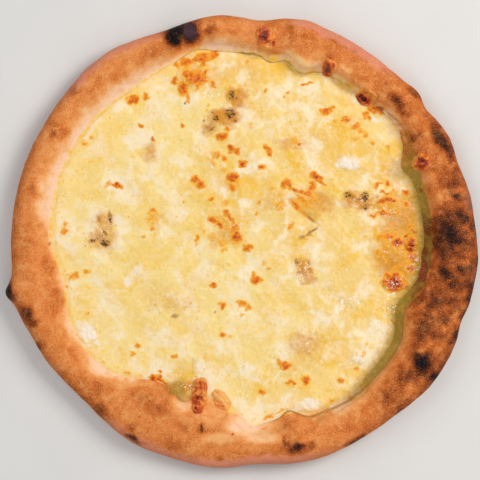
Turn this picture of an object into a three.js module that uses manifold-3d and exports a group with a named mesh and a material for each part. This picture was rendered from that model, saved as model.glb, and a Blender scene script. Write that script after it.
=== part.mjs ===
// A whole four cheese pizza: a round dough base with a puffed, uneven rim, melted cheese
// filling its well, and the lumps of cheese that kept a shape of their own.
// Millimetres, +Z up. It lies on the flat underside of its dough.

import * as THREE from 'three';
import Module from 'manifold-3d';
import { mergeVertices } from 'three/addons/utils/BufferGeometryUtils.js';

// Driving dimensions, mm
const rimRadius = 160.4;      // mean outer radius of the rim
const lipRadius = 132.6;      // mean radius where the rim's inner face begins
const crestHeight = 20.5;     // mean height of the rim
const crestPlace = 0.42;      // where the crest lies, as a share of the rim's width from outside
const widestHeight = 8.5;     // height at which the rim bulges out furthest
const underCurve = 9;         // how far its side curves in to reach the table
const bankWidth = 4.6;        // mean width of the sloping bank between the rim's top and the cheese
const bankTop = 13;           // height at which that bank begins
const doughThickness = 3.2;   // dough under the cheese
const cheeseThickness = 4;
const edgeRounding = 0.9;     // how much lower the cheese is along its edge
const gap = 0.35;             // clearance between neighbours

// How finely the round shapes are divided
const stepsAround = 144;
const stepsPerCurve = 5;
const cheeseRings = 12;
const lumpDetail = 2;

const degree = Math.PI / 180;
const floorHeight = doughThickness + gap;
const cheeseHeight = floorHeight + cheeseThickness;

// Swells and dents round the rim: at and half are degrees, out is mm, square ends them sharply
const edgeSwells = [
  { at: 354, half: 17, out: 5.4 },
  { at: 13, half: 6, out: 1.2 },
  { at: 27, half: 6, out: 2.2 },
  { at: 35.5, half: 2.6, out: -1.6 },
  { at: 40.5, half: 2.8, out: 1.6 },
  { at: 54, half: 7, out: -1 },
  { at: 73, half: 3, out: 1.4 },
  { at: 86, half: 6.4, out: -5 },
  { at: 109, half: 9, out: -3.4 },
  { at: 129, half: 9, out: 2 },
  { at: 192.2, half: 2.4, out: 5 },
  { at: 194.5, half: 7, out: 3.4 },
  { at: 225, half: 12, out: -4.4 },
  { at: 254, half: 9, out: -1.6 },
  { at: 274, half: 8, out: -5 },
  { at: 296, half: 6, out: 0.8 },
  { at: 326, half: 14, out: 5.8 },
  { at: 340, half: 3, out: -1.6 },
];
const lipSwells = [
  { at: 5, half: 14, out: 1.8 },
  { at: 36, half: 11, out: 6.2 },
  { at: 70.5, half: 4.2, out: -6.6 },
  { at: 80.5, half: 3, out: -5 },
  { at: 103, half: 6.5, out: 5.4 },
  { at: 126, half: 8, out: -1.8 },
  { at: 157, half: 14, out: 1.5 },
  { at: 192, half: 9, out: -6.6 },
  { at: 240, half: 12, out: -17.5 },
  { at: 247.5, half: 3, out: -3.5 },
  { at: 261, half: 9.6, out: -19, square: true },
  { at: 279, half: 7, out: -4.5 },
  { at: 286, half: 3.6, out: -7.5 },
  { at: 306, half: 8, out: 1.9 },
  { at: 337.5, half: 6.5, out: -8 },
];

// The bank is widest where a lobe of dough runs into the cheese, and all but gone above a trough
const bankSwells = [
  { at: 150, half: 50, out: 1.6 },
  { at: 80, half: 6, out: 2 },
  { at: 260, half: 9, out: 6, square: true },
  { at: 284, half: 7, out: 4 },
];

// Width of the steep shaded slope below the lip, which is widest on the +X side
const troughSwells = [
  { at: 350, half: 52, out: 6.2, square: true },
  { at: 25, half: 4, out: 6 },
  { at: 247, half: 4.5, out: 7 },
  { at: 86, half: 4, out: 2.2 },
  { at: 72, half: 5, out: 2.8 },
  { at: 57, half: 5, out: 2.8 },
];

// Where the rim rolls down to the cheese in one easy slope: 1 is all the way, 0 not at all
const easySides = [
  { at: 155, half: 66, out: 1, square: true },
];
const crestSwells = [
  { at: 354, half: 20, out: 2 },
  { at: 40, half: 12, out: -1.5 },
  { at: 86, half: 9, out: -2.2 },
  { at: 107, half: 4, out: 2.4 },
  { at: 135, half: 16, out: 1.4 },
  { at: 192, half: 5, out: 1.8 },
  { at: 224, half: 14, out: -2 },
  { at: 258, half: 8, out: -1.4 },
  { at: 290, half: 9, out: 1.2 },
  { at: 330, half: 11, out: 2.6 },
];

// Blisters (rise above 0) and creases (below 0) on top of the rim, mm
const blisters = [
  { at: [-42, 146], half: 8, rise: 2.4 },
  { at: [-51, 142], half: 2.4, rise: -4 },
  { at: [-16, 147], half: 6, rise: 1 },
  { at: [-126, 75], half: 8, rise: 1.2 },
  { at: [-146, -50], half: 6, rise: 1.6 },
  { at: [-150, 8], half: 9, rise: 1 },
  { at: [-95, -112], half: 7, rise: 1 },
  { at: [-30, -103], half: 9, rise: 1.2 },
  { at: [44, -142], half: 6, rise: 1.6 },
  { at: [20, -140], half: 7, rise: 1 },
  { at: [125, -83], half: 7, rise: 2.4 },
  { at: [114, -95], half: 6, rise: 1.6 },
  { at: [128, -62], half: 6, rise: 1.4 },
  { at: [147, 0], half: 10, rise: 2.2 },
  { at: [140, 68], half: 9, rise: 1.8 },
  { at: [108, 96], half: 8, rise: 1.6 },
  { at: [92, 112], half: 5, rise: -1.4 },
  { at: [62, 128], half: 8, rise: 1.2 },
  { at: [137, 31], half: 3.5, rise: 1.4 },
];

// Low mounds in the melted layer, from slices that spread as they melted, mm
const mounds = [
  { at: [28, 28], half: 14, rise: 1.5 },
  { at: [46, 16], half: 5, rise: -1.3 },
  { at: [78, -10], half: 22, rise: 0.6 },
  { at: [-56, -38], half: 20, rise: 0.7 },
  { at: [106, -4], half: 13, rise: 0.8 },
  { at: [84, -72], half: 17, rise: 0.7 },
  { at: [-88, 44], half: 22, rise: 0.5 },
  { at: [-30, 110], half: 13, rise: 1.1 },
  { at: [40, -98], half: 15, rise: 0.6 },
  { at: [-20, 60], half: 18, rise: -0.5 },
  { at: [10, -40], half: 26, rise: -0.5 },
];

// Blue cheese: place and half sizes seen from above, height above the melted layer, mm
const blueLumps = [
  { at: [-7, 97], half: [7, 9], rise: 1.7, turn: -20 },
  { at: [-18, 84], half: [10, 6], rise: 1.5, turn: 25 },
  { at: [-98, 8], half: [9, 12], rise: 1.7, turn: -12 },
  { at: [84, 30], half: [12, 6], rise: 1.6, turn: -25 },
  { at: [44, -20], half: [8, 10], rise: 1.6, turn: 20 },
  { at: [48, 6], half: [9, 3], rise: 1.4, turn: 24 },
];
const softLumps = [
  { at: [77, 56], half: [10, 6.5], rise: 2, turn: 5 },
  { at: [-107, -63], half: [9, 8], rise: 1.8, turn: -35 },
  { at: [-73, -20], half: [10, 6], rise: 1.7, turn: 40 },
  { at: [50, -114], half: [11, 6], rise: 1.8, turn: 12 },
  { at: [-30, -87], half: [5, 8], rise: 1.5, turn: 10 },
  { at: [83, -81], half: [6, 5], rise: 1.6, turn: 0 },
];

// Cheese fried to a bubbly knob, in the layer or up on the rim
const friedInLayer = [
  { at: [-33, 116], half: [13, 7.5], rise: 2, turn: 10 },
  { at: [107, -29], half: [8, 6.5], rise: 2.6, turn: -20 },
  { at: [119, -1], half: [5, 7], rise: 2.2, turn: 20 },
  { at: [44, 35], half: [13, 5], rise: 2.2, turn: -38 },
];
const friedOnRim = [
  { at: [17, 142], half: [6.5, 9], rise: 2.6, turn: 15 },
  { at: [61, 121], half: [5, 6], rise: 2, turn: -20 },
  { at: [88, 103.5], half: [6.5, 5.5], rise: 2, turn: -35 },
  { at: [125, 55], half: [6.5, 5.5], rise: 2.2, turn: 20 },
  { at: [-29, -107], half: [6, 12], rise: 5.6, turn: -6 },
  { at: [-14, -110], half: [8, 5], rise: 4.4, turn: -50 },
];

// The lumps' full shapes, most of which is sunk: a sunk one is thinner than the melted layer
const smoothBumps = { count: 3, depth: 0.07 };
const bubblyBumps = { count: 6, depth: 0.13 };
const sunkShape = { halfHeight: 2.4, bumps: smoothBumps };
const sunkKnobShape = { halfHeight: 2.4, bumps: bubblyBumps };
const rimKnobShape = { halfHeight: 4, bumps: bubblyBumps };

const fade = (distance, half, square) => Math.exp(-((distance / half) ** (square ? 4 : 2)));

function swellAt(swells, angle) {
  const share = ({ at, half, out, square }) => {
    const turn = ((angle - at + 540) % 360) - 180;
    return out * fade(turn, half, square);
  };
  return swells.reduce((sum, swell) => sum + share(swell), 0);
}

function reliefAt(bumps, x, y) {
  const share = ({ at, half, rise }) => rise * fade(Math.hypot(x - at[0], y - at[1]), half);
  return bumps.reduce((sum, bump) => sum + share(bump), 0);
}

// Points of a quarter turn from one end to the other, squarer than a circle
function quarter(from, to, upright) {
  const squareness = 0.84;
  const points = [];
  for (let step = 1; step <= stepsPerCurve; step += 1) {
    const turn = (step / stepsPerCurve) * 90 * degree;
    const rising = Math.sin(turn) ** squareness;
    const falling = 1 - Math.cos(turn) ** squareness;
    const [across, up] = upright ? [falling, rising] : [rising, falling];
    points.push([from[0] + (to[0] - from[0]) * across, from[1] + (to[1] - from[1]) * up]);
  }
  return points;
}

// Points of one long S from one end down to the other
function rollDown(from, to, count) {
  const rollOver = 1.15;
  return Array.from({ length: count }, (_, place) => {
    const share = (place + 1) / count;
    const left = 0.5 + 0.5 * Math.cos(Math.PI * share ** rollOver);
    return [THREE.MathUtils.lerp(from[0], to[0], share), THREE.MathUtils.lerp(to[1], from[1], left)];
  });
}

const edgeAt = (angle) => rimRadius + swellAt(edgeSwells, angle);
const lipAt = (angle) => lipRadius + swellAt(lipSwells, angle);
const troughAt = (angle) => swellAt(troughSwells, angle);
const cheeseEdgeAt = (angle) => lipAt(angle) - troughAt(angle);

// The dough's outline at one angle, from the axis underneath to the axis on top
function doughSection(angle) {
  const edge = edgeAt(angle);
  const lip = lipAt(angle);
  const trough = troughAt(angle);
  const bank = (bankWidth + swellAt(bankSwells, angle)) / (1 + trough / 2);
  const crest = [edge - (edge - lip) * crestPlace, crestHeight + swellAt(crestSwells, angle)];
  const foot = [edge - underCurve, 0];
  const side = [edge, widestHeight];
  const bankStart = [lip + bank, bankTop + trough / 4];
  const lipPoint = [lip, cheeseHeight + 0.8 * trough];
  const squared = [...quarter(crest, bankStart, false), lipPoint];
  const rolled = rollDown(crest, lipPoint, squared.length);
  const easy = swellAt(easySides, angle);
  const mixed = squared.map((point, place) => (
    point.map((value, axis) => THREE.MathUtils.lerp(value, rolled[place][axis], easy))
  ));
  return [
    [0, 0],
    foot,
    ...quarter(foot, side, false),
    ...quarter(side, crest, true),
    ...mixed,
    [lip - trough, cheeseHeight - edgeRounding],
    [lip - trough - 1, doughThickness],
    [0, doughThickness],
  ];
}

function doughRelief(x, y, height) {
  const shareOfRelief = THREE.MathUtils.smoothstep(height, widestHeight, bankTop);
  return height + shareOfRelief * reliefAt(blisters, x, y);
}

// The melted layer's outline at one angle, from its axis underneath to its axis on top
function cheeseSection(angle) {
  const edge = cheeseEdgeAt(angle) - gap;
  const points = [[0, floorHeight], [edge - 1, floorHeight], [edge, cheeseHeight - edgeRounding]];
  for (let ring = 1; ring <= cheeseRings; ring += 1) {
    const left = 1 - ring / cheeseRings;
    points.push([edge * left ** 0.8, cheeseHeight]);
  }
  return points;
}

function cheeseRelief(x, y, height) {
  if (height < cheeseHeight) {
    return height;
  }
  const ripples = 0.22 * Math.sin(x / 7 + 1) * Math.sin(y / 8) + 0.16 * Math.sin((x + y) / 5);
  return height + ripples + reliefAt(mounds, x, y);
}

function withoutEmptyTriangles(geometry) {
  const merged = mergeVertices(geometry, 1e-4);
  const kept = [];
  for (let start = 0; start < merged.index.count; start += 3) {
    const corners = [0, 1, 2].map((corner) => merged.index.getX(start + corner));
    if (new Set(corners).size === 3) {
      kept.push(...corners);
    }
  }
  merged.setIndex(kept);
  return merged;
}

// A turned solid whose section changes from angle to angle
function turnedGeometry(sectionAt, reliefOf) {
  const sectionLength = sectionAt(0).length;
  const blank = Array.from({ length: sectionLength }, (_, place) => new THREE.Vector2(1, place));
  const geometry = new THREE.LatheGeometry(blank, stepsAround);
  const position = geometry.getAttribute('position');
  for (let step = 0; step <= stepsAround; step += 1) {
    const angle = ((step % stepsAround) * 360) / stepsAround;
    sectionAt(angle).forEach(([radius, height], place) => {
      const x = radius * Math.cos(angle * degree);
      const y = radius * Math.sin(angle * degree);
      position.setXYZ(step * sectionLength + place, x, y, reliefOf(x, y, height));
    });
  }
  geometry.deleteAttribute('normal');
  geometry.deleteAttribute('uv');
  return withoutEmptyTriangles(geometry);
}

// Height above the table of what shows at one point: the melted layer, or the dough round it
function surfaceAt(x, y) {
  const radius = Math.hypot(x, y);
  const angle = (Math.atan2(y, x) / degree + 360) % 360;
  if (radius < cheeseEdgeAt(angle)) {
    return cheeseRelief(x, y, cheeseHeight);
  }
  const top = doughSection(angle).slice(2 + stepsPerCurve);
  const next = top.findIndex(([pointRadius]) => pointRadius <= radius);
  const [outer, inner] = [top[next - 1], top[next]];
  const share = (outer[0] - radius) / (outer[0] - inner[0]);
  return doughRelief(x, y, THREE.MathUtils.lerp(outer[1], inner[1], share));
}

function lumpGeometry({ half, turn }, halfHeight, bumps) {
  const geometry = new THREE.IcosahedronGeometry(1, lumpDetail);
  geometry.deleteAttribute('normal');
  geometry.deleteAttribute('uv');
  const position = geometry.getAttribute('position');
  const point = new THREE.Vector3();
  for (let place = 0; place < position.count; place += 1) {
    point.fromBufferAttribute(position, place);
    const around = Math.atan2(point.y, point.x) * bumps.count;
    const swell = 1 + bumps.depth * Math.sin(around + turn) * Math.cos(3 * point.z + turn);
    point.multiplyScalar(swell);
    position.setXYZ(place, point.x * half[0], point.y * half[1], point.z * halfHeight);
  }
  geometry.rotateZ(turn * degree);
  return withoutEmptyTriangles(geometry);
}

const wasm = await Module();
wasm.setup();

function solidFrom(geometry) {
  return new wasm.Manifold(new wasm.Mesh({
    numProp: 3,
    vertProperties: new Float32Array(geometry.getAttribute('position').array),
    triVerts: new Uint32Array(geometry.index.array),
  }));
}

function geometryFrom(solid) {
  const { vertProperties, triVerts } = solid.getMesh();
  const geometry = new THREE.BufferGeometry();
  geometry.setAttribute('position', new THREE.BufferAttribute(vertProperties, 3));
  geometry.setIndex(new THREE.BufferAttribute(triVerts, 1));
  return geometry;
}

const doughGeometry = turnedGeometry(doughSection, doughRelief);
const cheeseGeometry = turnedGeometry(cheeseSection, cheeseRelief);
const dough = solidFrom(doughGeometry);
const cheese = solidFrom(cheeseGeometry);

// A lump lies on what is under it, with the same clearance from the dough and the melted layer
function lyingGeometry(lump, { halfHeight, bumps }) {
  const [x, y] = lump.at;
  const centreHeight = surfaceAt(x, y) + lump.rise - halfHeight;
  const shape = solidFrom(lumpGeometry(lump, halfHeight, bumps).translate(x, y, centreHeight));
  const [sideX, sideY] = [x, y].map((along) => (along * gap) / Math.hypot(x, y));
  const clearOfDough = shape
    .subtract(dough.translate([0, 0, gap]))
    .subtract(dough.translate([-sideX, -sideY, gap]));
  return geometryFrom(clearOfDough.subtract(cheese.translate([sideX, sideY, gap])));
}

const doughLook = { color: '#cf8747', roughness: 0.85, metalness: 0 };
const cheeseLook = { color: '#f6dc92', roughness: 0.4, metalness: 0 };
const blueLook = { color: '#cdb578', roughness: 0.5, metalness: 0 };
const softLook = { color: '#f9ecd0', roughness: 0.35, metalness: 0 };
const friedLook = { color: '#a8521f', roughness: 0.45, metalness: 0 };

const lumpKinds = [
  { name: 'blue_cheese', lumps: blueLumps, look: blueLook, shape: sunkShape },
  { name: 'soft_cheese', lumps: softLumps, look: softLook, shape: sunkShape },
  { name: 'fried_cheese', lumps: friedInLayer, look: friedLook, shape: sunkKnobShape },
  { name: 'rim_cheese', lumps: friedOnRim, look: friedLook, shape: rimKnobShape },
];

const pizza = new THREE.Group();

function addPiece(name, geometry, look) {
  const mesh = new THREE.Mesh(geometry, new THREE.MeshStandardMaterial(look));
  mesh.name = name;
  pizza.add(mesh);
}

addPiece('crust', doughGeometry, doughLook);
addPiece('melted_cheese', cheeseGeometry, cheeseLook);
for (const { name, lumps, look, shape } of lumpKinds) {
  lumps.forEach((lump, place) => addPiece(`${name}_${place + 1}`, lyingGeometry(lump, shape), look));
}

// The origin is the middle of the underside's bounding box
doughGeometry.computeBoundingBox();
const middle = doughGeometry.boundingBox.getCenter(new THREE.Vector3());
pizza.position.set(-middle.x, -middle.y, 0);
pizza.updateMatrixWorld(true);

export default pizza;
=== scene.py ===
import bpy
import math
import numpy as np
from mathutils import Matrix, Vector


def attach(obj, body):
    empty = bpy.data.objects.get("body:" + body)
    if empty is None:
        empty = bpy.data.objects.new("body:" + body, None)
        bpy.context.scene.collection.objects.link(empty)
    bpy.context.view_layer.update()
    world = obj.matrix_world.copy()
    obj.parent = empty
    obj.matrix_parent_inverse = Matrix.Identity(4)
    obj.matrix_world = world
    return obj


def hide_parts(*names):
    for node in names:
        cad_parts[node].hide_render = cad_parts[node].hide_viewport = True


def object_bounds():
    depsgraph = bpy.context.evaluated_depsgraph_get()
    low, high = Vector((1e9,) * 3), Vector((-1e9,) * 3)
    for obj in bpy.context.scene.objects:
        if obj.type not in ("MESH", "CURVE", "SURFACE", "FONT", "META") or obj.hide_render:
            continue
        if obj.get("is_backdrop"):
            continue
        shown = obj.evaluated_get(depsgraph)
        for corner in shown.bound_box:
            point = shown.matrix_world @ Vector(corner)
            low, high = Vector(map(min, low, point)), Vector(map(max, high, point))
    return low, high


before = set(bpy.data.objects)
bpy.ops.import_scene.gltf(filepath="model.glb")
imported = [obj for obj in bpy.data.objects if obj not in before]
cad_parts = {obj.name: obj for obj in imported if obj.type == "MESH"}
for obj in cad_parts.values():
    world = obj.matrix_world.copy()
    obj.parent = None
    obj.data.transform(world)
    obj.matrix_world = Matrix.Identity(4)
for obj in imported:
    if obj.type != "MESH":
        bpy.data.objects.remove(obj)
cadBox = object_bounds()
bpy.ops.object.select_all(action='DESELECT')

# Sizes in this script are millimetres, measured from the middle of the pizza, unless a name says
# otherwise. Angles are degrees, counter-clockwise from +X. The finished pieces are in metres.
millimetre = 0.001

# Marks are spots, stains and lumps as they were read in the photo, in its pixels:
# (x, y, half length, half width, turn in degrees, strength in percent).
# One without a turn lies level, and one without a half width is round as well.
# Lines were read in the same way: (from x, y, to x, y, half width, strength).
# Swells go by angle: (angle, half width in degrees, strength, power of the fade unless it is 2).
# Fields are random relief or colour: (strength, size, seed, layers).
photo = {
    'pixel': 0.70,  # millimetres that one pixel takes in
    'middle': (241, 242),  # the pixel over the middle of the pizza
    'lineEnds': (0.12, 0.88),  # shares of a line's length outside which it gets no weaker
}
randomness = {
    'lattice': 257,  # random values along each side, after which a field repeats
    'shift': 300,  # keeps places on the lattice above zero
    'finer': 2,  # how much finer each next layer is
    'weaker': 1.9,  # and how much weaker
    'ridges': (0.7, 0.3),  # shares of the coarse and the fine ridges in wrinkles
}
# How marks fade: in full out to the first share of their size, and gone at the second
fades = {
    'scorch': (0.1, 1.7), 'toasted': (0.2, 1.5), 'pale': (0.35, 1.4), 'bloomAndSheen': (0.4, 1.3),
    'melted': (0.3, 1.3), 'spotOnDough': (0.45, 1.35), 'spotRelief': (0.45, 1.35), 'spot': (0.3, 1.95),
    'wetRelief': (0.2, 1.4), 'wet': (0.2, 1.5), 'warm': (0.1, 1.5), 'ochre': (0.4, 1.5),
    'grey': (0.3, 1.5), 'milk': (0.3, 1.3), 'vein': (0.5, 2.1), 'crisp': (0.3, 1.4),
    'paleKnob': (0.6, 1.3),
}


def randomField(x, y, size, seed):
    # smooth random values from -1 to 1 that change over about one size
    count, shift = randomness['lattice'], randomness['shift']
    lattice = np.random.default_rng(seed).uniform(-1, 1, (count, count))
    gridX, gridY = x / size + shift, y / size + shift
    cellX, cellY = np.floor(gridX).astype(int), np.floor(gridY).astype(int)
    partX, partY = gridX - cellX, gridY - cellY
    partX = partX * partX * (3 - 2 * partX)
    partY = partY * partY * (3 - 2 * partY)
    corner = lambda right, up: lattice[(cellX + right) % count, (cellY + up) % count]
    low = corner(0, 0) * (1 - partX) + corner(1, 0) * partX
    high = corner(0, 1) * (1 - partX) + corner(1, 1) * partX
    return low * (1 - partY) + high * partY


def roughField(x, y, size, seed, layers):
    # the same with finer and weaker fields on top
    total = np.zeros_like(x)
    for layer in range(layers):
        finer, weaker = randomness['finer'] ** layer, randomness['weaker'] ** layer
        total += randomField(x, y, size / finer, seed + layer) / weaker
    return total


def fieldAt(field, x, y, share=1):
    strength, size, seed, layers = field
    return share * strength * roughField(x, y, size, seed, layers)


def strayed(x, y, straying, places=None):
    # places moved about at random, which gives a wandering edge to what is laid there
    distance, size, layers, *seeds = straying
    return [place + distance * roughField(x, y, size, seed, layers)
            for place, seed in zip(places or (x, y), seeds)]


def wrinkleField(x, y, size, seed):
    # 1 along winding ridges and 0 between them
    coarse, fine = randomness['ridges']
    ridge = 1 - np.abs(randomField(x, y, size, seed)) * 2
    fineRidge = 1 - np.abs(randomField(x, y, size / 2, seed + 1)) * 2
    return np.clip(coarse * ridge + fine * fineRidge, 0, 1)


def smoothStep(low, high, value):
    share = np.clip((value - low) / (high - low), 0, 1)
    return share * share * (3 - 2 * share)


def shareAt(value, low, high, start, end):
    # a share that goes from start to end as the value goes from low to high
    return start + (end - start) * smoothStep(low, high, value)


def swellAt(swells, angle):
    total = np.zeros_like(angle)
    for at, half, strength, *power in swells:
        turn = (angle - at + 540) % 360 - 180
        total += strength * np.exp(-np.abs(turn / half) ** (power[0] if power else 2))
    return total


def reliefAt(bumps, x, y):
    # bumps: (x, y, half width, rise)
    total = np.zeros_like(x)
    for bumpX, bumpY, half, rise in bumps:
        total += rise * np.exp(-((x - bumpX) ** 2 + (y - bumpY) ** 2) / half ** 2)
    return total


def fromPhoto(pixelX, pixelY):
    middleX, middleY = photo['middle']
    return (pixelX - middleX) * photo['pixel'], (middleY - pixelY) * photo['pixel']


def marksAt(marks, x, y, solid, end):
    # how strongly the marks colour each point: in full out to the solid share, then fading to the end
    total = np.zeros_like(x)
    for pixelX, pixelY, length, *others, percent in marks:
        width, turn = (*others, *(length, 0)[len(others):])
        markX, markY = fromPhoto(pixelX, pixelY)
        cosTurn, sinTurn = math.cos(math.radians(turn)), math.sin(math.radians(turn))
        along = ((x - markX) * cosTurn + (y - markY) * sinTurn) / (length * photo['pixel'])
        across = ((y - markY) * cosTurn - (x - markX) * sinTurn) / (width * photo['pixel'])
        away = np.sqrt(along ** 2 + across ** 2)
        total = np.maximum(total, percent / 100 * (1 - smoothStep(solid, end, away)))
    return total


def linesAt(lines, x, y):
    total = np.zeros_like(x)
    for startX, startY, endX, endY, half, strength in lines:
        fromX, fromY = fromPhoto(startX, startY)
        toX, toY = fromPhoto(endX, endY)
        runX, runY = toX - fromX, toY - fromY
        share = np.clip(((x - fromX) * runX + (y - fromY) * runY) / (runX ** 2 + runY ** 2), 0, 1)
        away = np.hypot(x - fromX - share * runX, y - fromY - share * runY)
        thin = np.sin(np.pi * np.clip(share, *photo['lineEnds'])) ** 0.5
        total = np.maximum(total, strength * thin * np.exp(-(away / (half * photo['pixel'])) ** 2))
    return total


def readPoints(piece):
    points = np.empty(len(piece.data.vertices) * 3)
    piece.data.vertices.foreach_get('co', points)
    return points.reshape(-1, 3)


def writePoints(piece, points):
    piece.data.vertices.foreach_set('co', points.ravel())
    piece.data.update()


def placePoints(piece, *coordinates):
    writePoints(piece, toFrame(np.stack(coordinates, axis=1)))


def writeMask(piece, name, values):
    mask = piece.data.attributes.new(name, 'FLOAT', 'POINT')
    mask.data.foreach_set('value', np.clip(values, 0, 1).astype(np.float32))


def addNew(name, operator, **settings):
    # a new object, made by one of Blender's own operators
    bpy.ops.object.select_all(action='DESELECT')
    operator(**settings)
    added = bpy.context.active_object
    added.name = name
    return added


def choosePiece(piece):
    bpy.ops.object.select_all(action='DESELECT')
    piece.select_set(True)
    bpy.context.view_layer.objects.active = piece


def editPiece(piece):
    choosePiece(piece)
    bpy.ops.object.mode_set(mode='EDIT')
    bpy.ops.mesh.select_all(action='SELECT')


def closeEdit():
    bpy.ops.mesh.select_all(action='SELECT')
    bpy.ops.mesh.normals_make_consistent(inside=False)
    bpy.ops.object.mode_set(mode='OBJECT')


def displacePiece(piece, size, strength, depth):
    # fine relief from Blender's own cloud texture; size and strength in millimetres
    texture = bpy.data.textures.new(piece.name + 'Relief', 'CLOUDS')
    texture.noise_scale = size * millimetre
    texture.noise_depth = depth
    relief = piece.modifiers.new('relief', 'DISPLACE')
    relief.texture = texture
    relief.texture_coords = 'LOCAL'
    relief.strength = strength * millimetre
    relief.mid_level = 0.5
    choosePiece(piece)
    bpy.ops.object.modifier_apply(modifier=relief.name)


def finishPiece(piece, material, slot, *nodes):
    choosePiece(piece)
    bpy.ops.object.shade_smooth()
    piece.data.materials.clear()
    piece.data.materials.append(material)
    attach(piece, 'root')
    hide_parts(*nodes)


# The shape that dough and cheese share
rim = {
    'radius': 160.4,  # mean outer radius
    'lipRadius': 132.6,  # mean radius where its inner face begins
    'crestHeight': 20.5,
    'crestPlace': 0.42,  # crest, as a share of the width from outside
    'widestHeight': 8.5,
    'underCurve': 9.0,  # how far the side curves in to reach the table
    'bankWidth': 4.6,  # slope between the rim's top and the cheese
    'bankTop': 13.0, 'floorThickness': 3.2, 'squareness': 0.84,
    'outlineSteps': 144,  # points of the outline that the frame's origin is worked out from
}
layer = {
    'level': 7.55,  # top of the melted layer
    'bottom': 3.55,
    'edgeFall': 0.9,  # how far it falls at its outer edge
    'ripple': (0.22, 7, 8),  # height, and size along x and y
    'slantRipple': (0.16, 5),
}
edgeSwells = [
    (354, 17, 5.4), (13, 6, 1.2), (27, 6, 2.2), (35.5, 2.6, -1.6), (40.5, 2.8, 1.6), (54, 7, -1),
    (73, 3, 1.4), (86, 6.4, -5), (109, 9, -3.4), (129, 9, 2), (192.2, 2.4, 5), (194.5, 7, 3.4),
    (225, 12, -4.4), (254, 9, -1.6), (274, 8, -5), (296, 6, 0.8), (326, 14, 5.8), (340, 3, -1.6),
]
lipSwells = [
    (5, 14, 1.8), (36, 11, 6.2), (70.5, 4.2, -6.6), (80.5, 3, -5), (103, 6.5, 5.4), (126, 8, -1.8),
    (157, 14, 1.5), (192, 9, -6.6), (240, 12, -17.5), (247.5, 3, -3.5), (261, 9.6, -19, 4),
    (279, 7, -4.5), (286, 3.6, -7.5), (306, 8, 1.9), (337.5, 6.5, -8),
]
bankSwells = [(150, 50, 1.6), (80, 6, 2), (260, 9, 6, 4), (284, 7, 4)]
troughSwells = [(350, 52, 6.2, 4), (25, 4, 6), (247, 4.5, 7), (86, 4, 2.2), (72, 5, 2.8), (57, 5, 2.8)]
crestSwells = [
    (354, 20, 2), (40, 12, -1.5), (86, 9, -2.2), (107, 4, 2.4), (135, 16, 1.4), (192, 5, 1.8),
    (224, 14, -2), (258, 8, -1.4), (290, 9, 1.2), (330, 11, 2.6),
]
blisters = [
    (-42, 146, 8, 2.4), (-51, 142, 2.4, -4), (-16, 147, 6, 1), (-126, 75, 8, 1.2), (-146, -50, 6, 1.6),
    (-150, 8, 9, 1), (-95, -112, 7, 1), (-30, -103, 9, 1.2), (44, -142, 6, 1.6), (20, -140, 7, 1),
    (125, -83, 7, 2.4), (114, -95, 6, 1.6), (128, -62, 6, 1.4), (147, 0, 10, 2.2), (140, 68, 9, 1.8),
    (108, 96, 8, 1.6), (92, 112, 5, -1.4), (62, 128, 8, 1.2), (137, 31, 3.5, 1.4),
]
mounds = [
    (28, 28, 14, 1.5), (46, 16, 5, -1.3), (78, -10, 22, 0.6), (-56, -38, 20, 0.7), (106, -4, 13, 0.8),
    (84, -72, 17, 0.7), (-88, 44, 22, 0.5), (-30, 110, 13, 1.1), (40, -98, 15, 0.6), (-20, 60, 18, -0.5),
    (10, -40, 26, -0.5),
]


def edgeAt(angle):
    return rim['radius'] + swellAt(edgeSwells, angle)


def lipAt(angle):
    return rim['lipRadius'] + swellAt(lipSwells, angle)


def cheeseEdgeAt(angle):
    return lipAt(angle) - swellAt(troughSwells, angle)


def cheeseHeightAt(x, y):
    height, sizeX, sizeY = layer['ripple']
    slantHeight, slantSize = layer['slantRipple']
    ripples = height * np.sin(x / sizeX + 1) * np.sin(y / sizeY)
    ripples = ripples + slantHeight * np.sin((x + y) / slantSize)
    return layer['level'] + ripples + reliefAt(mounds, x, y)


def angleOf(x, y):
    return np.degrees(np.arctan2(y, x)) % 360


# The middle of the outline's box is the frame's origin
outlineAngles = np.arange(rim['outlineSteps']) * 360 / rim['outlineSteps']
outlineX = edgeAt(outlineAngles) * np.cos(np.radians(outlineAngles))
outlineY = edgeAt(outlineAngles) * np.sin(np.radians(outlineAngles))
middle = np.array([(outlineX.min() + outlineX.max()) / 2, (outlineY.min() + outlineY.max()) / 2, 0])


def toFrame(points):
    return (points - middle) * millimetre


def fromFrame(points):
    return points / millimetre + middle


def paint(red, green, blue):
    # a colour as seen on screen, 0 to 255, made linear
    linear = [((c / 255 + 0.055) / 1.055) ** 2.4 if c > 10 else c / 255 / 12.92
              for c in (red, green, blue)]
    return (*linear, 1)


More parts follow.
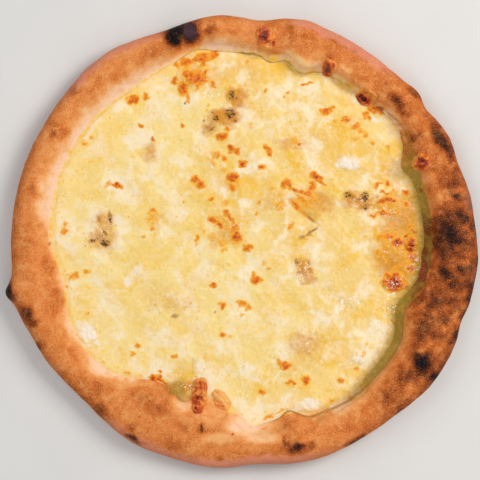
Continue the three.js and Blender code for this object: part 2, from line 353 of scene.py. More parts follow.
class Look:
    # a material and the few node recipes that all looks here are made of
    softness = (1.0, 0.6, 0.3)  # how far red, green and blue light soak in, against each other

    def __init__(self, name):
        self.material = bpy.data.materials.new(name)
        self.material.use_nodes = True
        self.tree = self.material.node_tree
        self.shader = self.tree.nodes['Principled BSDF']
        self.place = self.add('TexCoord', 'Object', {})

    def plug(self, node, values):
        # each value is another node's output, a number, or a colour as seen on screen
        for name, value in values.items():
            if isinstance(value, bpy.types.NodeSocket):
                self.tree.links.new(value, node.inputs[name])
            else:
                node.inputs[name].default_value = paint(*value) if isinstance(value, tuple) else value

    def add(self, kind, output, values, **settings):
        node = self.tree.nodes.new('ShaderNode' + kind)
        for name, value in settings.items():
            setattr(node, name, value)
        self.plug(node, values)
        return node.outputs[output]

    def noise(self, size, detail, rough=0.55, warp=0.0):
        # size in millimetres; the value runs from 0 to 1
        return self.add('TexNoise', 'Fac', {
            'Vector': self.place, 'Scale': 1 / (size * millimetre), 'Detail': detail, 'Roughness': rough,
            'Distortion': warp})

    def mask(self, name):
        return self.add('Attribute', 'Fac', {}, attribute_name=name)

    def math(self, operation, first, second):
        return self.add('Math', 0, {0: first, 1: second}, operation=operation)

    def times(self, first, second):
        return self.math('MULTIPLY', first, second)

    def span(self, value, low, high, start=0.0, end=1.0):
        return self.add('MapRange', 'Result', {
            'Value': value, 'From Min': low, 'From Max': high, 'To Min': start, 'To Max': end,
        }, interpolation_type='SMOOTHSTEP')

    def patches(self, noise, values):
        # values: low and high, and the shares there unless they are 0 and 1
        return self.span(self.noise(*noise), *values)

    def stir(self, value, noiseValue, depth):
        # a value moved up and down by noise
        return self.math('ADD', value, self.times(self.math('SUBTRACT', noiseValue, 0.5), depth))

    def ragged(self, value, noiseValue, depth, low, high):
        # a soft mask given a torn edge by noise
        return self.span(self.stir(value, noiseValue, depth), low, high)

    def ramp(self, value, stops):
        # stops: (place, colour)
        node = self.add('ValToRGB', 'Color', {'Fac': value}).node
        elements = node.color_ramp.elements
        for element, (place, colour) in zip((elements[0], elements[1]), (stops[0], stops[-1])):
            element.position, element.color = place, paint(*colour)
        for place, colour in stops[1:-1]:
            elements.new(place).color = paint(*colour)
        return node.outputs['Color']

    def blend(self, first, second, share):
        return self.add('Mix', 'Result', {'Factor': share, 'A': first, 'B': second}, data_type='RGBA')

    def coat(self, under, colour, name, noiseValue, depth, low, high, share):
        # a colour over what is under it, where the mask of that name lets it, with a torn edge
        torn = self.ragged(self.mask(name), noiseValue, depth, low, high)
        return self.blend(under, colour, self.times(torn, share))

    def bump(self, height, depth, under=None, share=1.0):
        # depth in millimetres
        below = {} if under is None else {'Normal': under}
        return self.add('Bump', 'Normal', {
            'Distance': depth * millimetre, 'Strength': share, 'Height': height, **below})

    def dress(self, colour, roughness, normal, gloss, glow, glowReach):
        # gloss is the specular level; glow is how much light soaks in, glowReach how far, in millimetres
        self.plug(self.shader, {
            'Base Color': colour, 'Roughness': roughness, 'Normal': normal, 'Specular IOR Level': gloss,
            'Subsurface Weight': glow, 'Subsurface Scale': glowReach * millimetre})
        self.shader.inputs['Subsurface Radius'].default_value = self.softness
        return self.material


print('helpers ready')


# The strength, as a share, at which browned spots and veins are darkest, and the spots themselves
strongestMark = 1.2
brownedSpots = [
    (133, 100, 5, 4, 20, 80), (146, 97, 3.5, 60), (128, 98, 2.5, 50), (141, 126, 3, 2.5, 30, 70),
    (153, 140, 2, 75), (85, 143, 3, 45), (91, 138, 2, 40), (117, 185, 5, 2.5, -15, 85),
    (108, 184, 3, 40), (65, 223, 3, 50), (65, 231, 4, 2.5, 60), (88, 271, 2, 4, 60, 45),
    (75, 274, 3, 60), (70, 278, 3.5, 3, 50), (66, 286, 2, 45), (50, 244, 2, 70), (87, 314, 2, 45),
    (129, 217, 2, 40), (142, 236, 2, 40), (152, 228, 2.5, 60), (153, 210, 2.5, 50), (150, 219, 5, 35),
    (222, 136, 5, 4, 85), (231, 149, 3.5, 85), (237, 151, 3, 85), (225, 158, 3, 60), (216, 155, 4, 55),
    (213, 163, 3, 40), (227, 129, 2, 1.5, 80), (183, 126, 2, 1.5, 40, 80), (195, 179, 4, 3.5, 90),
    (201, 184, 3.5, 3, -30, 85), (242, 164, 4, 3.5, 90), (262, 167, 4, 3, 75), (233, 177, 5, 4.5, 85),
    (232, 186, 3, 3.5, 80), (238, 183, 2, 3, 45), (233, 190, 3, 2, 50), (267, 149, 2.5, 3, 30, 75),
    (270, 154, 2.5, 3, 30, 75), (300, 145, 2, 90), (295, 140, 5, 35), (212, 198, 2.5, 65),
    (183, 202, 1.5, 60), (226, 203, 5, 3, 50, 40), (222, 170, 4, 35), (287, 184, 5, 4, 80),
    (290, 189, 3, 60), (316, 176, 5, 3, -30, 90), (320, 181, 6, 2, -40, 75), (311, 183, 3, 60),
    (324, 184, 3, 1.5, -20, 60), (257, 214, 2, 50), (259, 202, 2, 50), (272, 189, 3, 35),
    (280, 193, 4, 30), (226, 213, 4, 3, 40, 75), (231, 219, 5, 2.5, -60, 75), (214, 221, 5, 2, -20, 80),
    (220, 226, 4, 2, -40, 80), (236, 228, 3, 5, 70), (237, 238, 4, 5, 85), (223, 243, 5, 35),
    (213, 236, 5, 3, 30, 30), (197, 240, 1.5, 5, -10, 55), (203, 232, 4, 1.5, 40, 40),
    (247, 248, 4.5, 3.5, 75), (224, 250, 4, 2, 20, 45), (265, 263, 2, 40), (268, 269, 2, 40),
    (257, 280, 5, 4, 85), (254, 275, 3, 50), (214, 286, 3, 2.5, 70), (222, 305, 3, 65),
    (242, 304, 5, 3, 30, 60), (248, 307, 3, 50), (242, 315, 2.5, 40), (221, 336, 3.5, 2.5, 65),
    (229, 337, 2.5, 45), (174, 356, 3, 2.5, 20, 55), (138, 346, 3, 2, 60, 50), (132, 353, 3, 2.5, 55),
    (127, 372, 3, 1.5, 40), (104, 360, 2.5, 35), (285, 366, 5, 3.5, 85), (280, 362, 3, 60),
    (291, 382, 3.5, 3, 70), (306, 380, 4, 3.5, 85), (262, 391, 3, 60), (341, 381, 3.5, 3, 30, 70),
    (357, 369, 3.5, 2, -30, 60), (364, 353, 3, 40), (367, 343, 3, 35), (332, 401, 5, 3, 10, 40),
    (327, 111, 5.5, 3.5, 10, 80), (332, 109, 4, 1.5, 20, 45), (345, 118, 3, 2, 20, 60),
    (346, 121, 3.5, 2, 75), (355, 126, 4, 3, 30, 70), (362, 131, 5, 3, -20, 45),
    (335, 120, 4, 1.5, 10, 40), (305, 85, 3, 1.5, 10, 75), (310, 83, 2.5, 1.5, 10, 60),
    (266, 90, 2, 2.5, 60), (287, 93, 2, 1.5, 55), (284, 97, 2, 40), (252, 127, 3.5, 32),
    (300, 101, 3, 25), (248, 62, 2, 40), (207, 106, 2, 40), (365, 117, 2, 75), (370, 119, 2, 1.5, 70),
    (355, 140, 4, 35), (372, 142, 3, 45), (366, 135, 3, 2, 20, 50), (390, 148, 2.5, 45),
    (340, 130, 5, 20), (377, 186, 2, 75), (381, 183, 4, 1, 20, 70), (388, 183, 2, 2.5, 90),
    (383, 192, 3.5, 1.5, -20, 70), (388, 194, 3.5, 1.5, 10, 80), (393, 191, 2.5, 1, 50, 55),
    (407, 192, 3.5, 2.5, -10, 85), (415, 196, 3.5, 2, 20, 65), (421, 190, 2, 4, 90), (407, 204, 3, 70),
    (382, 201, 4, 2, 20, 85), (388, 200, 4, 2, -5, 85), (393, 202, 2.5, 90), (374, 215, 4, 1.5, -5, 70),
    (381, 213, 4.5, 1.5, 80), (388, 214, 3.5, 1.5, 75), (398, 213, 3, 1, 40, 55),
    (411, 226, 3.5, 1.5, 20, 65), (415, 231, 4.5, 1.5, -18, 105), (405, 237, 2, 95),
    (390, 236, 6, 2.5, 10, 75), (380, 237, 5, 2.5, 10, 55), (397, 242, 5, 4, 105),
    (411, 245, 5, 7.5, -15, 115), (385, 252, 1.5, 6, -15, 50), (378, 252, 3, 55),
    (386, 261, 2, 4, 20, 40), (400, 266, 4.5, 1.5, 25, 50), (414, 257, 7, 5, -40, 85),
    (420, 265, 5, 8, 95), (411, 268, 4.5, 4, 85), (421, 275, 4, 105), (395, 283, 9, 8, 102),
    (385, 282, 4, 3, 70), (388, 275, 3.5, 3, 70), (407, 287, 2, 110), (394, 323, 2.5, 110),
    (396, 268, 5, 2, 30, 35), (203, 58, 7, 4.5, 72), (214, 53, 3.5, 6, -20, 75), (187, 62, 5, 4, 75),
    (195, 59, 3, 2.5, 60), (175, 64, 4.5, 2, 10, 60), (180, 66, 3, 1.5, 50), (196, 78, 10, 6.5, 5, 76),
    (187, 74, 4, 3, 70), (182, 88, 4.5, 6, -10, 78), (188, 98, 1.5, 5, 20, 50), (175, 81, 3, 4, 75),
    (198, 87, 3, 60), (212, 85, 4.5, 2.5, -40, 65), (206, 72, 2.5, 2, 70), (203, 64, 2.5, 3.5, 60),
    (153, 378, 4, 3, 90), (160, 376, 1.5, 3, 40, 70), (162, 380, 1.5, 6.5, 60, 85), (160, 372, 1.5, 80),
    # (269, 416) and (280, 411) lay a soft painted shade line along the layer's lower edge
    (269, 416, 5, 2.5, 20, 50), (280, 411, 9, 1.5, 20, 40), (377, 109, 8, 4, -20, 85), (366, 113, 3, 60),
    # (295, 205) and (303, 213) follow a fold and paint its shade
    (300, 192, 14, 1.8, -14, 75), (295, 205, 6, 2.2, -50, 70), (303, 213, 6, 1.6, -42, 50),
    (312, 199, 3, 40), (311, 188, 3, 6, -25, 70), (303, 201, 9, 5, -30, 45), (279, 205, 6, 5, 40),
    (291, 226, 3, 6, -20, 42), (222, 222, 12, 8, -30, 34), (234, 235, 6, 12, 10, 40), (154, 217, 11, 28),
    (66, 229, 8, 25), (212, 156, 8, 25), (199, 182, 7, 6, 30), (235, 183, 8, 10, 30),
    (396, 245, 20, 14, 30), (414, 262, 12, 16, 35), (386, 205, 18, 10, 10, 30),
    (350, 121, 16, 8, 20, 25), (196, 76, 18, 16, 30),
]

crust = {
    'stepsAround': 900, 'underRows': 10, 'sideRows': 14, 'outerRows': 26, 'innerRows': 24,
    'bankRows': 7, 'troughRows': 7,
    'floorRows': (1.5, 4),  # how far inside the cheese's edge the floor's outer rows lie
    'narrowBank': 2,  # a trough this deep halves the bank's width
    'troughAtBank': 4,  # one part in so many of a trough's depth is added to the bank's height
    'troughAtLip': 0.8,  # and this share of it to the lip's
    'easySlope': 1.15,  # where its inner slope rolls over, on the side without a trough
    'merging': 0.0005,  # points nearer than this become one
    'smoothing': (0.5, 5),  # share and rounds
    'swelling': (0.5, 19, 11, 2), 'lumpiness': (0.16, 6, 21, 2), 'bulging': (0.35, 13, 31, 3),
    'bulgeSlant': (0.7, 0.9),  # how far the bulges of the side shift with height
    'freeOfTable': (0.3, 3),  # heights between which they set in
    'creaseDepth': 0.8,
    'fineRelief': (2.6, 0.14, 2),  # size, height and layers
    'straying': (1.3, 7, 3, 41, 51),  # how far marks stray, over what size, layers and seeds
    'mottle': (1, 5, 61, 3),
    'sideReach': 0.8,  # how much of the way down its side counts as way from its edge
    'baked': 0.46,  # how far baked the rim is on the whole: 0 raw, 1 burnt
    'bakedUnevenly': (0.06, 24, 81, 2),
    'bakedMottle': (0.04, 0.05),  # on the whole, and how much more on its right side
    'bakedRight': 0.21,  # how much more on its right side
    'bakedEdge': (0.1, 9),  # and along its outer edge, and how wide that is
    'creaseShade': 0.12, 'scorchMottle': 0.2,
    'scorchOnSide': (0.1, 0.8, 0.3, 1),  # heights, and shares at them
    'scorchLimit': 1.4, 'heightMottle': 0.25, 'paleWander': (1.8, 11, 71, 2),
    'paleFringe': (1.5, 4, 75, 3),
    'paleFade': (-7, 6),  # how far from its limit the pale band begins and ends to fade
    'paleFrom': (1, 5, 2),  # widths between which the band sets in, and what is added to its width
    'paleRight': 0.5,  # how much of it is lost on the right
    'paleness': 0.93,
    'meltedEdge': 0.75,  # how much cheese lies on the foot of its easy inner slope
    'meltedWidth': 4.5, 'meltedMottle': 0.6,
    'flourFade': (3, 11, 1.6),  # from and to how far inside the edge, and how torn
    'flourOnSide': (0.2, 0.9, 0.25, 1), 'troughMottle': 0.3, 'troughStart': (-0.5, 1.5),
    'troughDepth': (0.5, 2.4),  # depths between which a trough fills with oil and painted shade
    'contactShadeWidth': 1.1, 'contactShadePlace': 0.5, 'deepOilAndShadeShare': 0.8, 'deepOilAndShadeField': (0.5, 6, 91, 3),
    'speckledFade': (1, 8), 'undersideTop': (0.2, 2.5),
    'grainDepths': (0.46, 0.2),  # how much grain and mottle change the bake
    'grainBump': 0.16, 'mottleBump': 0.3,
    'shine': (0.1, 0.06, 1.2),  # gloss, glow and how far the glow reaches
    'sheen': (0.0, 1.0, 0.72, 0.3),  # roughness from dry to oily
    'sandyOn': (0.5, 0.75, 1.0, 0.2),  # bakes from and to which the sandy patches weaken
    'dustOn': (0.6, 0.95, 1.0, 0.25), 'freckleShare': 0.7, 'cheesePatches': (0.35, 0.65),
    # noise: size, layers, roughness and warp, then the span of its values that makes the patches
    'grain': (0.9, 4, 0.65), 'mottling': (4, 4, 0.6, 0.2),
    'sandyPatches': ((7, 4, 0.65, 0.3), (0.52, 0.64, 0.0, 0.4)),
    'freckles': ((1.5, 4, 0.7), (0.54, 0.68)),
    'thinPatches': ((5, 4, 0.6, 0.5), (0.48, 0.66, 0.0, 0.8)),
    'burntPatches': ((15, 4, 0.6), (0.5, 0.68)), 'dusting': ((0.8, 3, 0.7), (0.52, 0.72, 0.0, 0.5)),
    # coats of colour: how torn, the mask's values from and to which each sets in, and its share
    'coats': {
        'flour': (0.5, 0.15, 1.0, 0.75), 'deepOilAndShade': (0.9, 0.1, 0.9, 1.0), 'oilAndShade': (0.3, 0.2, 0.9, 0.92),
        'melted': (0.5, 0.25, 0.8, 0.9), 'contactShade': (0.6, 0.1, 0.8, 0.85),
        'browned': (0.3, 0.3, 0.7, 0.8), 'bloomAndSheen': (0.5, 0.2, 0.9, 0.7),
    },
    'contactShade': (158, 118, 42), 'bloomAndSheen': (72, 48, 60), 'pinkFlour': (222, 140, 112),
    'sandy': (236, 170, 98), 'freckle': (92, 52, 40), 'browned': (150, 52, 20),
    'paleUnder': (206, 160, 108), 'burntUnder': (92, 54, 32), 'dust': (250, 200, 150),
    'thinOil': (188, 146, 50), 'oilAndShade': (150, 126, 34), 'deepOilAndShade': (110, 48, 6),
}
easySides = [(155, 66, 1, 4)]
rightSide = [(352, 40, 1, 4)]
speckledSides = [(185, 45, 1, 4), (320, 20, 0.5, 4)]
bakeColours = [
    (0.0, (248, 210, 184)), (0.14, (246, 197, 150)), (0.28, (237, 164, 96)), (0.44, (220, 130, 62)),
    (0.58, (192, 98, 34)), (0.7, (146, 66, 16)), (0.81, (86, 34, 10)), (0.91, (36, 14, 14)),
    (1.0, (10, 4, 10)),
]
scorches = [
    (175, 35, 8, 13, 150), (183, 30, 7, 9, 100), (190, 34, 11, 120), (210, 33, 6, 5, 50),
    (180, 36, 8, 12, 60), (213, 30, 8, 4, 42), (200, 34, 7, 5, 40), (76, 92, 6, 4, 30, 40),
    (66, 135, 5, 42), (55, 136, 5, 45), (57, 126, 7, 5, 22), (8, 290, 6, 12, 85), (15, 297, 6, 50),
    (28, 312, 8, 68), (33, 320, 7, 6, 50), (42, 345, 6, 4.5, 40, 40), (102, 410, 9, 6, -20, 40),
    (139, 415, 3.5, 2.5, 40), (132, 425, 5, 4, 30), (134, 437, 9, 4, -25, 66), (201, 426, 1.4, 5, 8, 75),
    (208, 429, 5, 3, 20), (297, 446, 10, 5.5, 5, 66), (310, 444, 6, 4.5, 10, 50), (286, 443, 6, 4, 40),
    (218, 457, 6, 3, 20), (354, 439, 13, 3.5, 22, 50), (419, 360, 10, 9, 20, 100),
    (433, 374, 8, 6, -40, 76), (422, 366, 17, 14, 40), (404, 375, 10, 6, 20, 36),
    (420, 330, 13, 10, 40, 40), (431, 335, 6, 5, 40), (426, 318, 6, 5, 30), (412, 342, 9, 8, 25),
    (454, 337, 6, 5, 50, 40), (467, 300, 4, 7, 10, 50), (447, 300, 7, 5, 30), (432, 300, 9, 8, 30),
    (460, 269, 7, 5, 20, 62), (446, 274, 9, 5, -30, 55), (449, 281, 7, 5, 40, 50),
    (448, 237, 8, 13, -5, 95), (445, 232, 17, 21, 68), (458, 215, 8, 7, -30, 70), (441, 221, 8, 9, 50),
    (450, 222, 16, 10, 36), (454, 197, 4, 60), (440, 143, 20, 6, -60, 66), (446, 152, 7, 6, 50),
    (434, 130, 7, 35), (415, 137, 7, 5, 40), (396, 103, 11, 7, -40, 52), (403, 113, 8, 5, -40, 42),
    (416, 95, 8, 5, -45, 50), (450, 180, 6, 10, 25), (427, 188, 3, 6, 20), (428, 235, 4, 14, 50),
    (466, 337, 4, 3, 40), (440, 318, 7, 6, 30), (455, 287, 8, 6, 16), (385, 398, 8, 5, 30, 22),
    (370, 425, 6, 4, 20), (120, 118, 7, 4, 40, 14), (95, 122, 5, 4, 18), (75, 180, 6, 10, 12),
    (30, 240, 8, 14, 12), (48, 262, 8, 10, 22), (55, 300, 8, 12, -20, 20), (80, 352, 8, 10, 30, 20),
    (100, 385, 12, 7, -30, 16), (160, 410, 14, 6, -10, 20), (185, 425, 7, 5, 20), (175, 442, 10, 6, 18),
    (245, 447, 10, 5, 15), (265, 428, 3, 1, 20, 25), (310, 428, 8, 3, 30, 20), (282, 438, 4, 2, 50, 35),
    (340, 425, 12, 5, 20, 18), (350, 85, 10, 6, -40, 22), (300, 38, 14, 5, -20, 18), (330, 60, 8, 6, 20),
    (360, 80, 8, 4, -35, 20), (232, 33, 6, 4, 18), (150, 55, 8, 6, 30, 18), (120, 75, 8, 6, 40, 16),
    (96, 100, 8, 5, 40, 16), (36, 190, 6, 10, 10, 14), (290, 28, 8, 3, 25), (232, 433, 1.5, 1.4, 60),
    (201, 425, 4, 5, 35), (200, 51, 14, 2, 3, 35),
]
# How far outside the lip the pale inner band reaches
paleLimits = [
    (95, 12, 7), (125, 14, 8, 4), (143, 9, 8), (158, 9, 7), (169, 8, 8.5), (186, 8, 3), (208, 6, 4),
    # At 306 and 327 degrees the band is kept narrow as a painted highlight along the lip's edge
    (222, 8, 8), (306, 11, 3.5), (327, 12, 3.5), (14, 8, 5), (54, 9, 3.5), (70, 7, 7),
]
# How strongly the trough is coloured with oil and painted shade, and where it is deep and dark
oilAndShadeSwells = [(2, 30, 0.95, 4), (318, 20, 0.8), (247, 6, 0.75), (68, 22, 0.55, 4)]
deepSwells = [(355, 13, 1)]
# Where a thin yellow film of cheese reaches up the dough
filmSwells = [(74, 34, 0.9, 4), (318, 16, 0.3, 4)]
# Where a thin dark line of painted shade shows between the dough and the layer
contactShadeSwells = [
    (66, 14, 0.5, 4), (88, 7, 0.7), (30, 16, 0.6, 4), (318, 24, 0.9, 4), (286, 8, 0.8), (247, 6, 0.8),
    (106, 6, 0.6),
]
palePatches = [
    (248, 424, 26, 14, 5, 95), (262, 436, 22, 8, 8, 70), (212, 414, 20, 13, 40),
    (184, 402, 13, 8, -30, 70), (222, 436, 24, 7, 50), (120, 382, 8, 5, -30, 40), (436, 199, 4, 8, 45),
    (428, 178, 5, 9, 20, 30), (262, 54, 7, 6, 50), (346, 70, 7, 3, -30, 50), (150, 105, 20, 3, 33, 20),
    (246, 446, 22, 4, 25), (90, 115, 8, 50),
]
# Where a film of melted cheese lies over the dough
meltedOver = [
    (236, 408, 14, 6, 35, 80), (214, 400, 10, 8, 60), (300, 63, 24, 6, -32, 50), (272, 60, 9, 6, 20, 70),
    (262, 56, 6, 60), (330, 78, 7, 5, -30, 50), (362, 104, 8, 5, -40, 50), (286, 412, 12, 4, 20, 60),
]
# Where the dough is baked a little more than around
toastedPatches = [
    (150, 400, 24, 9, -30, 12), (292, 427, 12, 8, -40, 8), (165, 418, 14, 6, -20, 6),
    (392, 90, 56, 14, -45, 7.5), (392, 392, 56, 14, 45, 4),
]
flourBands = [
    (62, 15, 1, 4), (72, 5, 0.4), (10, 4, 0.5), (88, 5, 0.4), (126, 16, 0.9, 4), (104, 6, 0.6),
    (241, 10, 0.7, 4), (270, 21, 1, 4), (352, 4, 0.35), (300, 10, 0.35), (205, 18, 0.3, 4),
]
# The purplish bloom on burnt dough, and a painted sheen on the lit side of a blister
bloomAndSheenPatches = [(191, 34, 9, 10, 90), (418, 362, 8, 7, 25)]
creases = [
    (180, 26, 180, 51, 1, 1.6), (328, 41, 366, 60, 1.6, 0.8), (366, 60, 392, 78, 1.4, 0.4),
    (201, 416, 202, 431, 1, 1), (56, 268, 72, 269, 0.9, 0.5), (281, 431, 285, 443, 1.3, 0.9),
    (276, 428, 283, 436, 1.2, 0.5), (120, 60, 88, 92, 1.2, 0.4), (176, 398, 190, 404, 1, 0.5),
]


def rowsBetween(start, end, count):
    share = np.arange(1, count + 1)[:, None] / count
    return start[None] + (end - start)[None] * share


def quarterTurn(start, end, count, upright):
    turn = np.arange(1, count + 1)[:, None] / count * math.pi / 2
    rising = np.sin(turn) ** rim['squareness']
    falling = 1 - np.cos(turn) ** rim['squareness']
    across, up = (falling, rising) if upright else (rising, falling)
    radius = start[0][None] + (end[0] - start[0])[None] * across
    height = start[1][None] + (end[1] - start[1])[None] * up
    return radius, height


def crustSections(angle):
    # every row's radius and height at each angle, from the middle underneath to the middle on top
    edge, lip = edgeAt(angle), lipAt(angle)
    trough = swellAt(troughSwells, angle)
    bank = (rim['bankWidth'] + swellAt(bankSwells, angle)) / (1 + trough / crust['narrowBank'])
    zero = np.zeros_like(angle)
    floor = zero + rim['floorThickness']
    foot = (edge - rim['underCurve'], zero)
    side = (edge, zero + rim['widestHeight'])
    crestHeight = rim['crestHeight'] + swellAt(crestSwells, angle)
    crest = (edge - (edge - lip) * rim['crestPlace'], crestHeight)
    bankStart = (lip + bank, rim['bankTop'] + trough / crust['troughAtBank'])
    lipPoint = (lip, layer['level'] + crust['troughAtLip'] * trough)
    cheesePoint = (lip - trough, zero + layer['level'] - layer['edgeFall'])
    easy = swellAt(easySides, angle)
    slopeRows = crust['innerRows'] + crust['bankRows']
    straight = rowsBetween(crest[0], lip, slopeRows)
    down = (np.arange(1, slopeRows + 1)[:, None] / slopeRows) ** crust['easySlope']
    roll = 0.5 + 0.5 * np.cos(np.pi * down)
    rolled = lipPoint[1][None] + (crest[1] - lipPoint[1])[None] * roll
    squared = quarterTurn(crest, bankStart, crust['innerRows'], False)
    bankRows = [rowsBetween(bankStart[k], lipPoint[k], crust['bankRows']) for k in (0, 1)]
    slope = [np.vstack([squared[k], bankRows[k]]) * (1 - easy) + (straight, rolled)[k] * easy
             for k in (0, 1)]
    stretches = [
        (zero[None], zero[None]),
        (rowsBetween(zero, foot[0], crust['underRows']), rowsBetween(zero, zero, crust['underRows'])),
        quarterTurn(foot, side, crust['sideRows'], False),
        quarterTurn(side, crest, crust['outerRows'], True),
        slope,
        [rowsBetween(lipPoint[k], cheesePoint[k], crust['troughRows']) for k in (0, 1)],
        *[(cheesePoint[0][None] - inside, floor[None]) for inside in crust['floorRows']],
        (zero[None], floor[None]),
    ]
    return np.vstack([s[0] for s in stretches]), np.vstack([s[1] for s in stretches])


def rollGrid(name, stepsAround, rows):
    # a flat grid whose columns will be angles and whose rows will be places on a section
    piece = addNew(name, bpy.ops.mesh.primitive_grid_add,
                   x_subdivisions=stepsAround, y_subdivisions=rows - 1, size=2)
    points = readPoints(piece)
    column = np.rint((points[:, 0] + 1) / 2 * stepsAround).astype(int) % stepsAround
    row = np.rint((points[:, 1] + 1) / 2 * (rows - 1)).astype(int)
    return piece, column, row


def makeCrust():
    steps = crust['stepsAround']
    angles = np.arange(steps) * 360 / steps
    radius, height = crustSections(angles)
    piece, column, row = rollGrid('bakedCrust', steps, len(radius))
    turn = np.radians(angles[column])
    out = radius[row, column]
    writePoints(piece, np.stack([out * np.cos(turn), out * np.sin(turn), height[row, column]], axis=1))
    editPiece(piece)
    bpy.ops.mesh.remove_doubles(threshold=crust['merging'])
    factor, repeat = crust['smoothing']
    bpy.ops.mesh.vertices_smooth(factor=factor, repeat=repeat)
    closeEdit()

    x, y, z = readPoints(piece).T
    shareOfRelief = smoothStep(rim['widestHeight'], rim['bankTop'], z)
    aboveTable = smoothStep(*crust['freeOfTable'], z)
    z = z + shareOfRelief * reliefAt(blisters, x, y)
    z += shareOfRelief * (fieldAt(crust['swelling'], x, y) + fieldAt(crust['lumpiness'], x, y))
    z -= shareOfRelief * crust['creaseDepth'] * linesAt(creases, x, y)
    slantX, slantY = crust['bulgeSlant']
    push = fieldAt(crust['bulging'], x + slantX * z, y + slantY * z, aboveTable)
    away = np.hypot(x, y) + 1e-6    # never zero
    x, y = x * (1 + push / away), y * (1 + push / away)
    placePoints(piece, x, y, z)
    displacePiece(piece, *crust['fineRelief'])
    return piece


def markCrust(piece):
    x, y, z = fromFrame(readPoints(piece)).T
    angle, away = angleOf(x, y), np.hypot(x, y)
    edge, lip = edgeAt(angle), lipAt(angle)
    mottle = fieldAt(crust['mottle'], x, y)
    fromEdge = edge - away + crust['sideReach'] * (z < rim['widestHeight']) * (rim['widestHeight'] - z)
    high = z / rim['widestHeight'] + crust['heightMottle'] * mottle    # the side is baked less than the top
    right, easy = swellAt(rightSide, angle), swellAt(easySides, angle)
    wandering = strayed(x, y, crust['straying'])

    def spotted(marks, kind):
        return marksAt(marks, *wandering, *fades[kind])

    scorch = spotted(scorches, 'scorch') * (1 + crust['scorchMottle'] * mottle)
    scorch *= shareAt(high, *crust['scorchOnSide'])
    mottled, mottledRight = crust['bakedMottle']
    bake = crust['baked'] + fieldAt(crust['bakedUnevenly'], x, y)
    bake += (mottled + mottledRight * right) * mottle
    bakedEdge, edgeWidth = crust['bakedEdge']
    bake += crust['bakedRight'] * right + bakedEdge * (1 - smoothStep(0, edgeWidth, fromEdge))
    bake += spotted(toastedPatches, 'toasted')
    reach = swellAt(paleLimits, angle)
    reach = reach + fieldAt(crust['paleWander'], x, y) + fieldAt(crust['paleFringe'], x, y)
    narrow, wide, spare = crust['paleFrom']
    pale = 1 - smoothStep(*crust['paleFade'], away - lip - reach)
    pale = pale * smoothStep(narrow, wide, reach + spare) * (1 - crust['paleRight'] * right)
    pale = np.maximum(pale, spotted(palePatches, 'pale'))
    # the creases are darkened with painted shade
    bake = bake * (1 - crust['paleness'] * pale) + crust['creaseShade'] * linesAt(creases, x, y)
    writeMask(piece, 'bake', bake + (1 - bake) * np.clip(scorch, 0, crust['scorchLimit']))
    writeMask(piece, 'bloomAndSheen', spotted(bloomAndSheenPatches, 'bloomAndSheen'))
    filmed = np.maximum(easy, swellAt(filmSwells, angle))
    fromLip = away - lip - crust['meltedMottle'] * mottle
    atCheese = crust['meltedEdge'] * filmed * (1 - smoothStep(0, crust['meltedWidth'], fromLip))
    writeMask(piece, 'melted', np.maximum(atCheese, spotted(meltedOver, 'melted')))
    start, end, torn = crust['flourFade']
    flour = swellAt(flourBands, angle) * (1 - smoothStep(start, end, fromEdge + torn * mottle))
    writeMask(piece, 'flour', flour * shareAt(high, *crust['flourOnSide']) * (1 - np.clip(scorch, 0, 1)))
    # the trough is coloured with oil, and with painted shade under the lip
    inTrough = smoothStep(*crust['troughStart'], lip - away + crust['troughMottle'] * mottle)
    inTrough = inTrough * smoothStep(*crust['troughDepth'], swellAt(troughSwells, angle))
    # a thin line of painted shade where the layer meets the dough
    seam = away - lip + crust['contactShadePlace'] - crust['troughMottle'] * mottle
    contactShade = np.exp(-(seam / crust['contactShadeWidth']) ** 2)
    writeMask(piece, 'contactShade', contactShade * swellAt(contactShadeSwells, angle))
    writeMask(piece, 'oilAndShade', inTrough * swellAt(oilAndShadeSwells, angle))
    deepness = crust['deepOilAndShadeShare'] + fieldAt(crust['deepOilAndShadeField'], x, y)
    writeMask(piece, 'deepOilAndShade', swellAt(deepSwells, angle) * deepness)
    speckled = swellAt(speckledSides, angle) * (1 - smoothStep(*crust['speckledFade'], fromEdge))
    writeMask(piece, 'speckled', speckled)
    writeMask(piece, 'browned', spotted(brownedSpots, 'spotOnDough') / strongestMark)
    writeMask(piece, 'underside', 1 - smoothStep(*crust['undersideTop'], z))


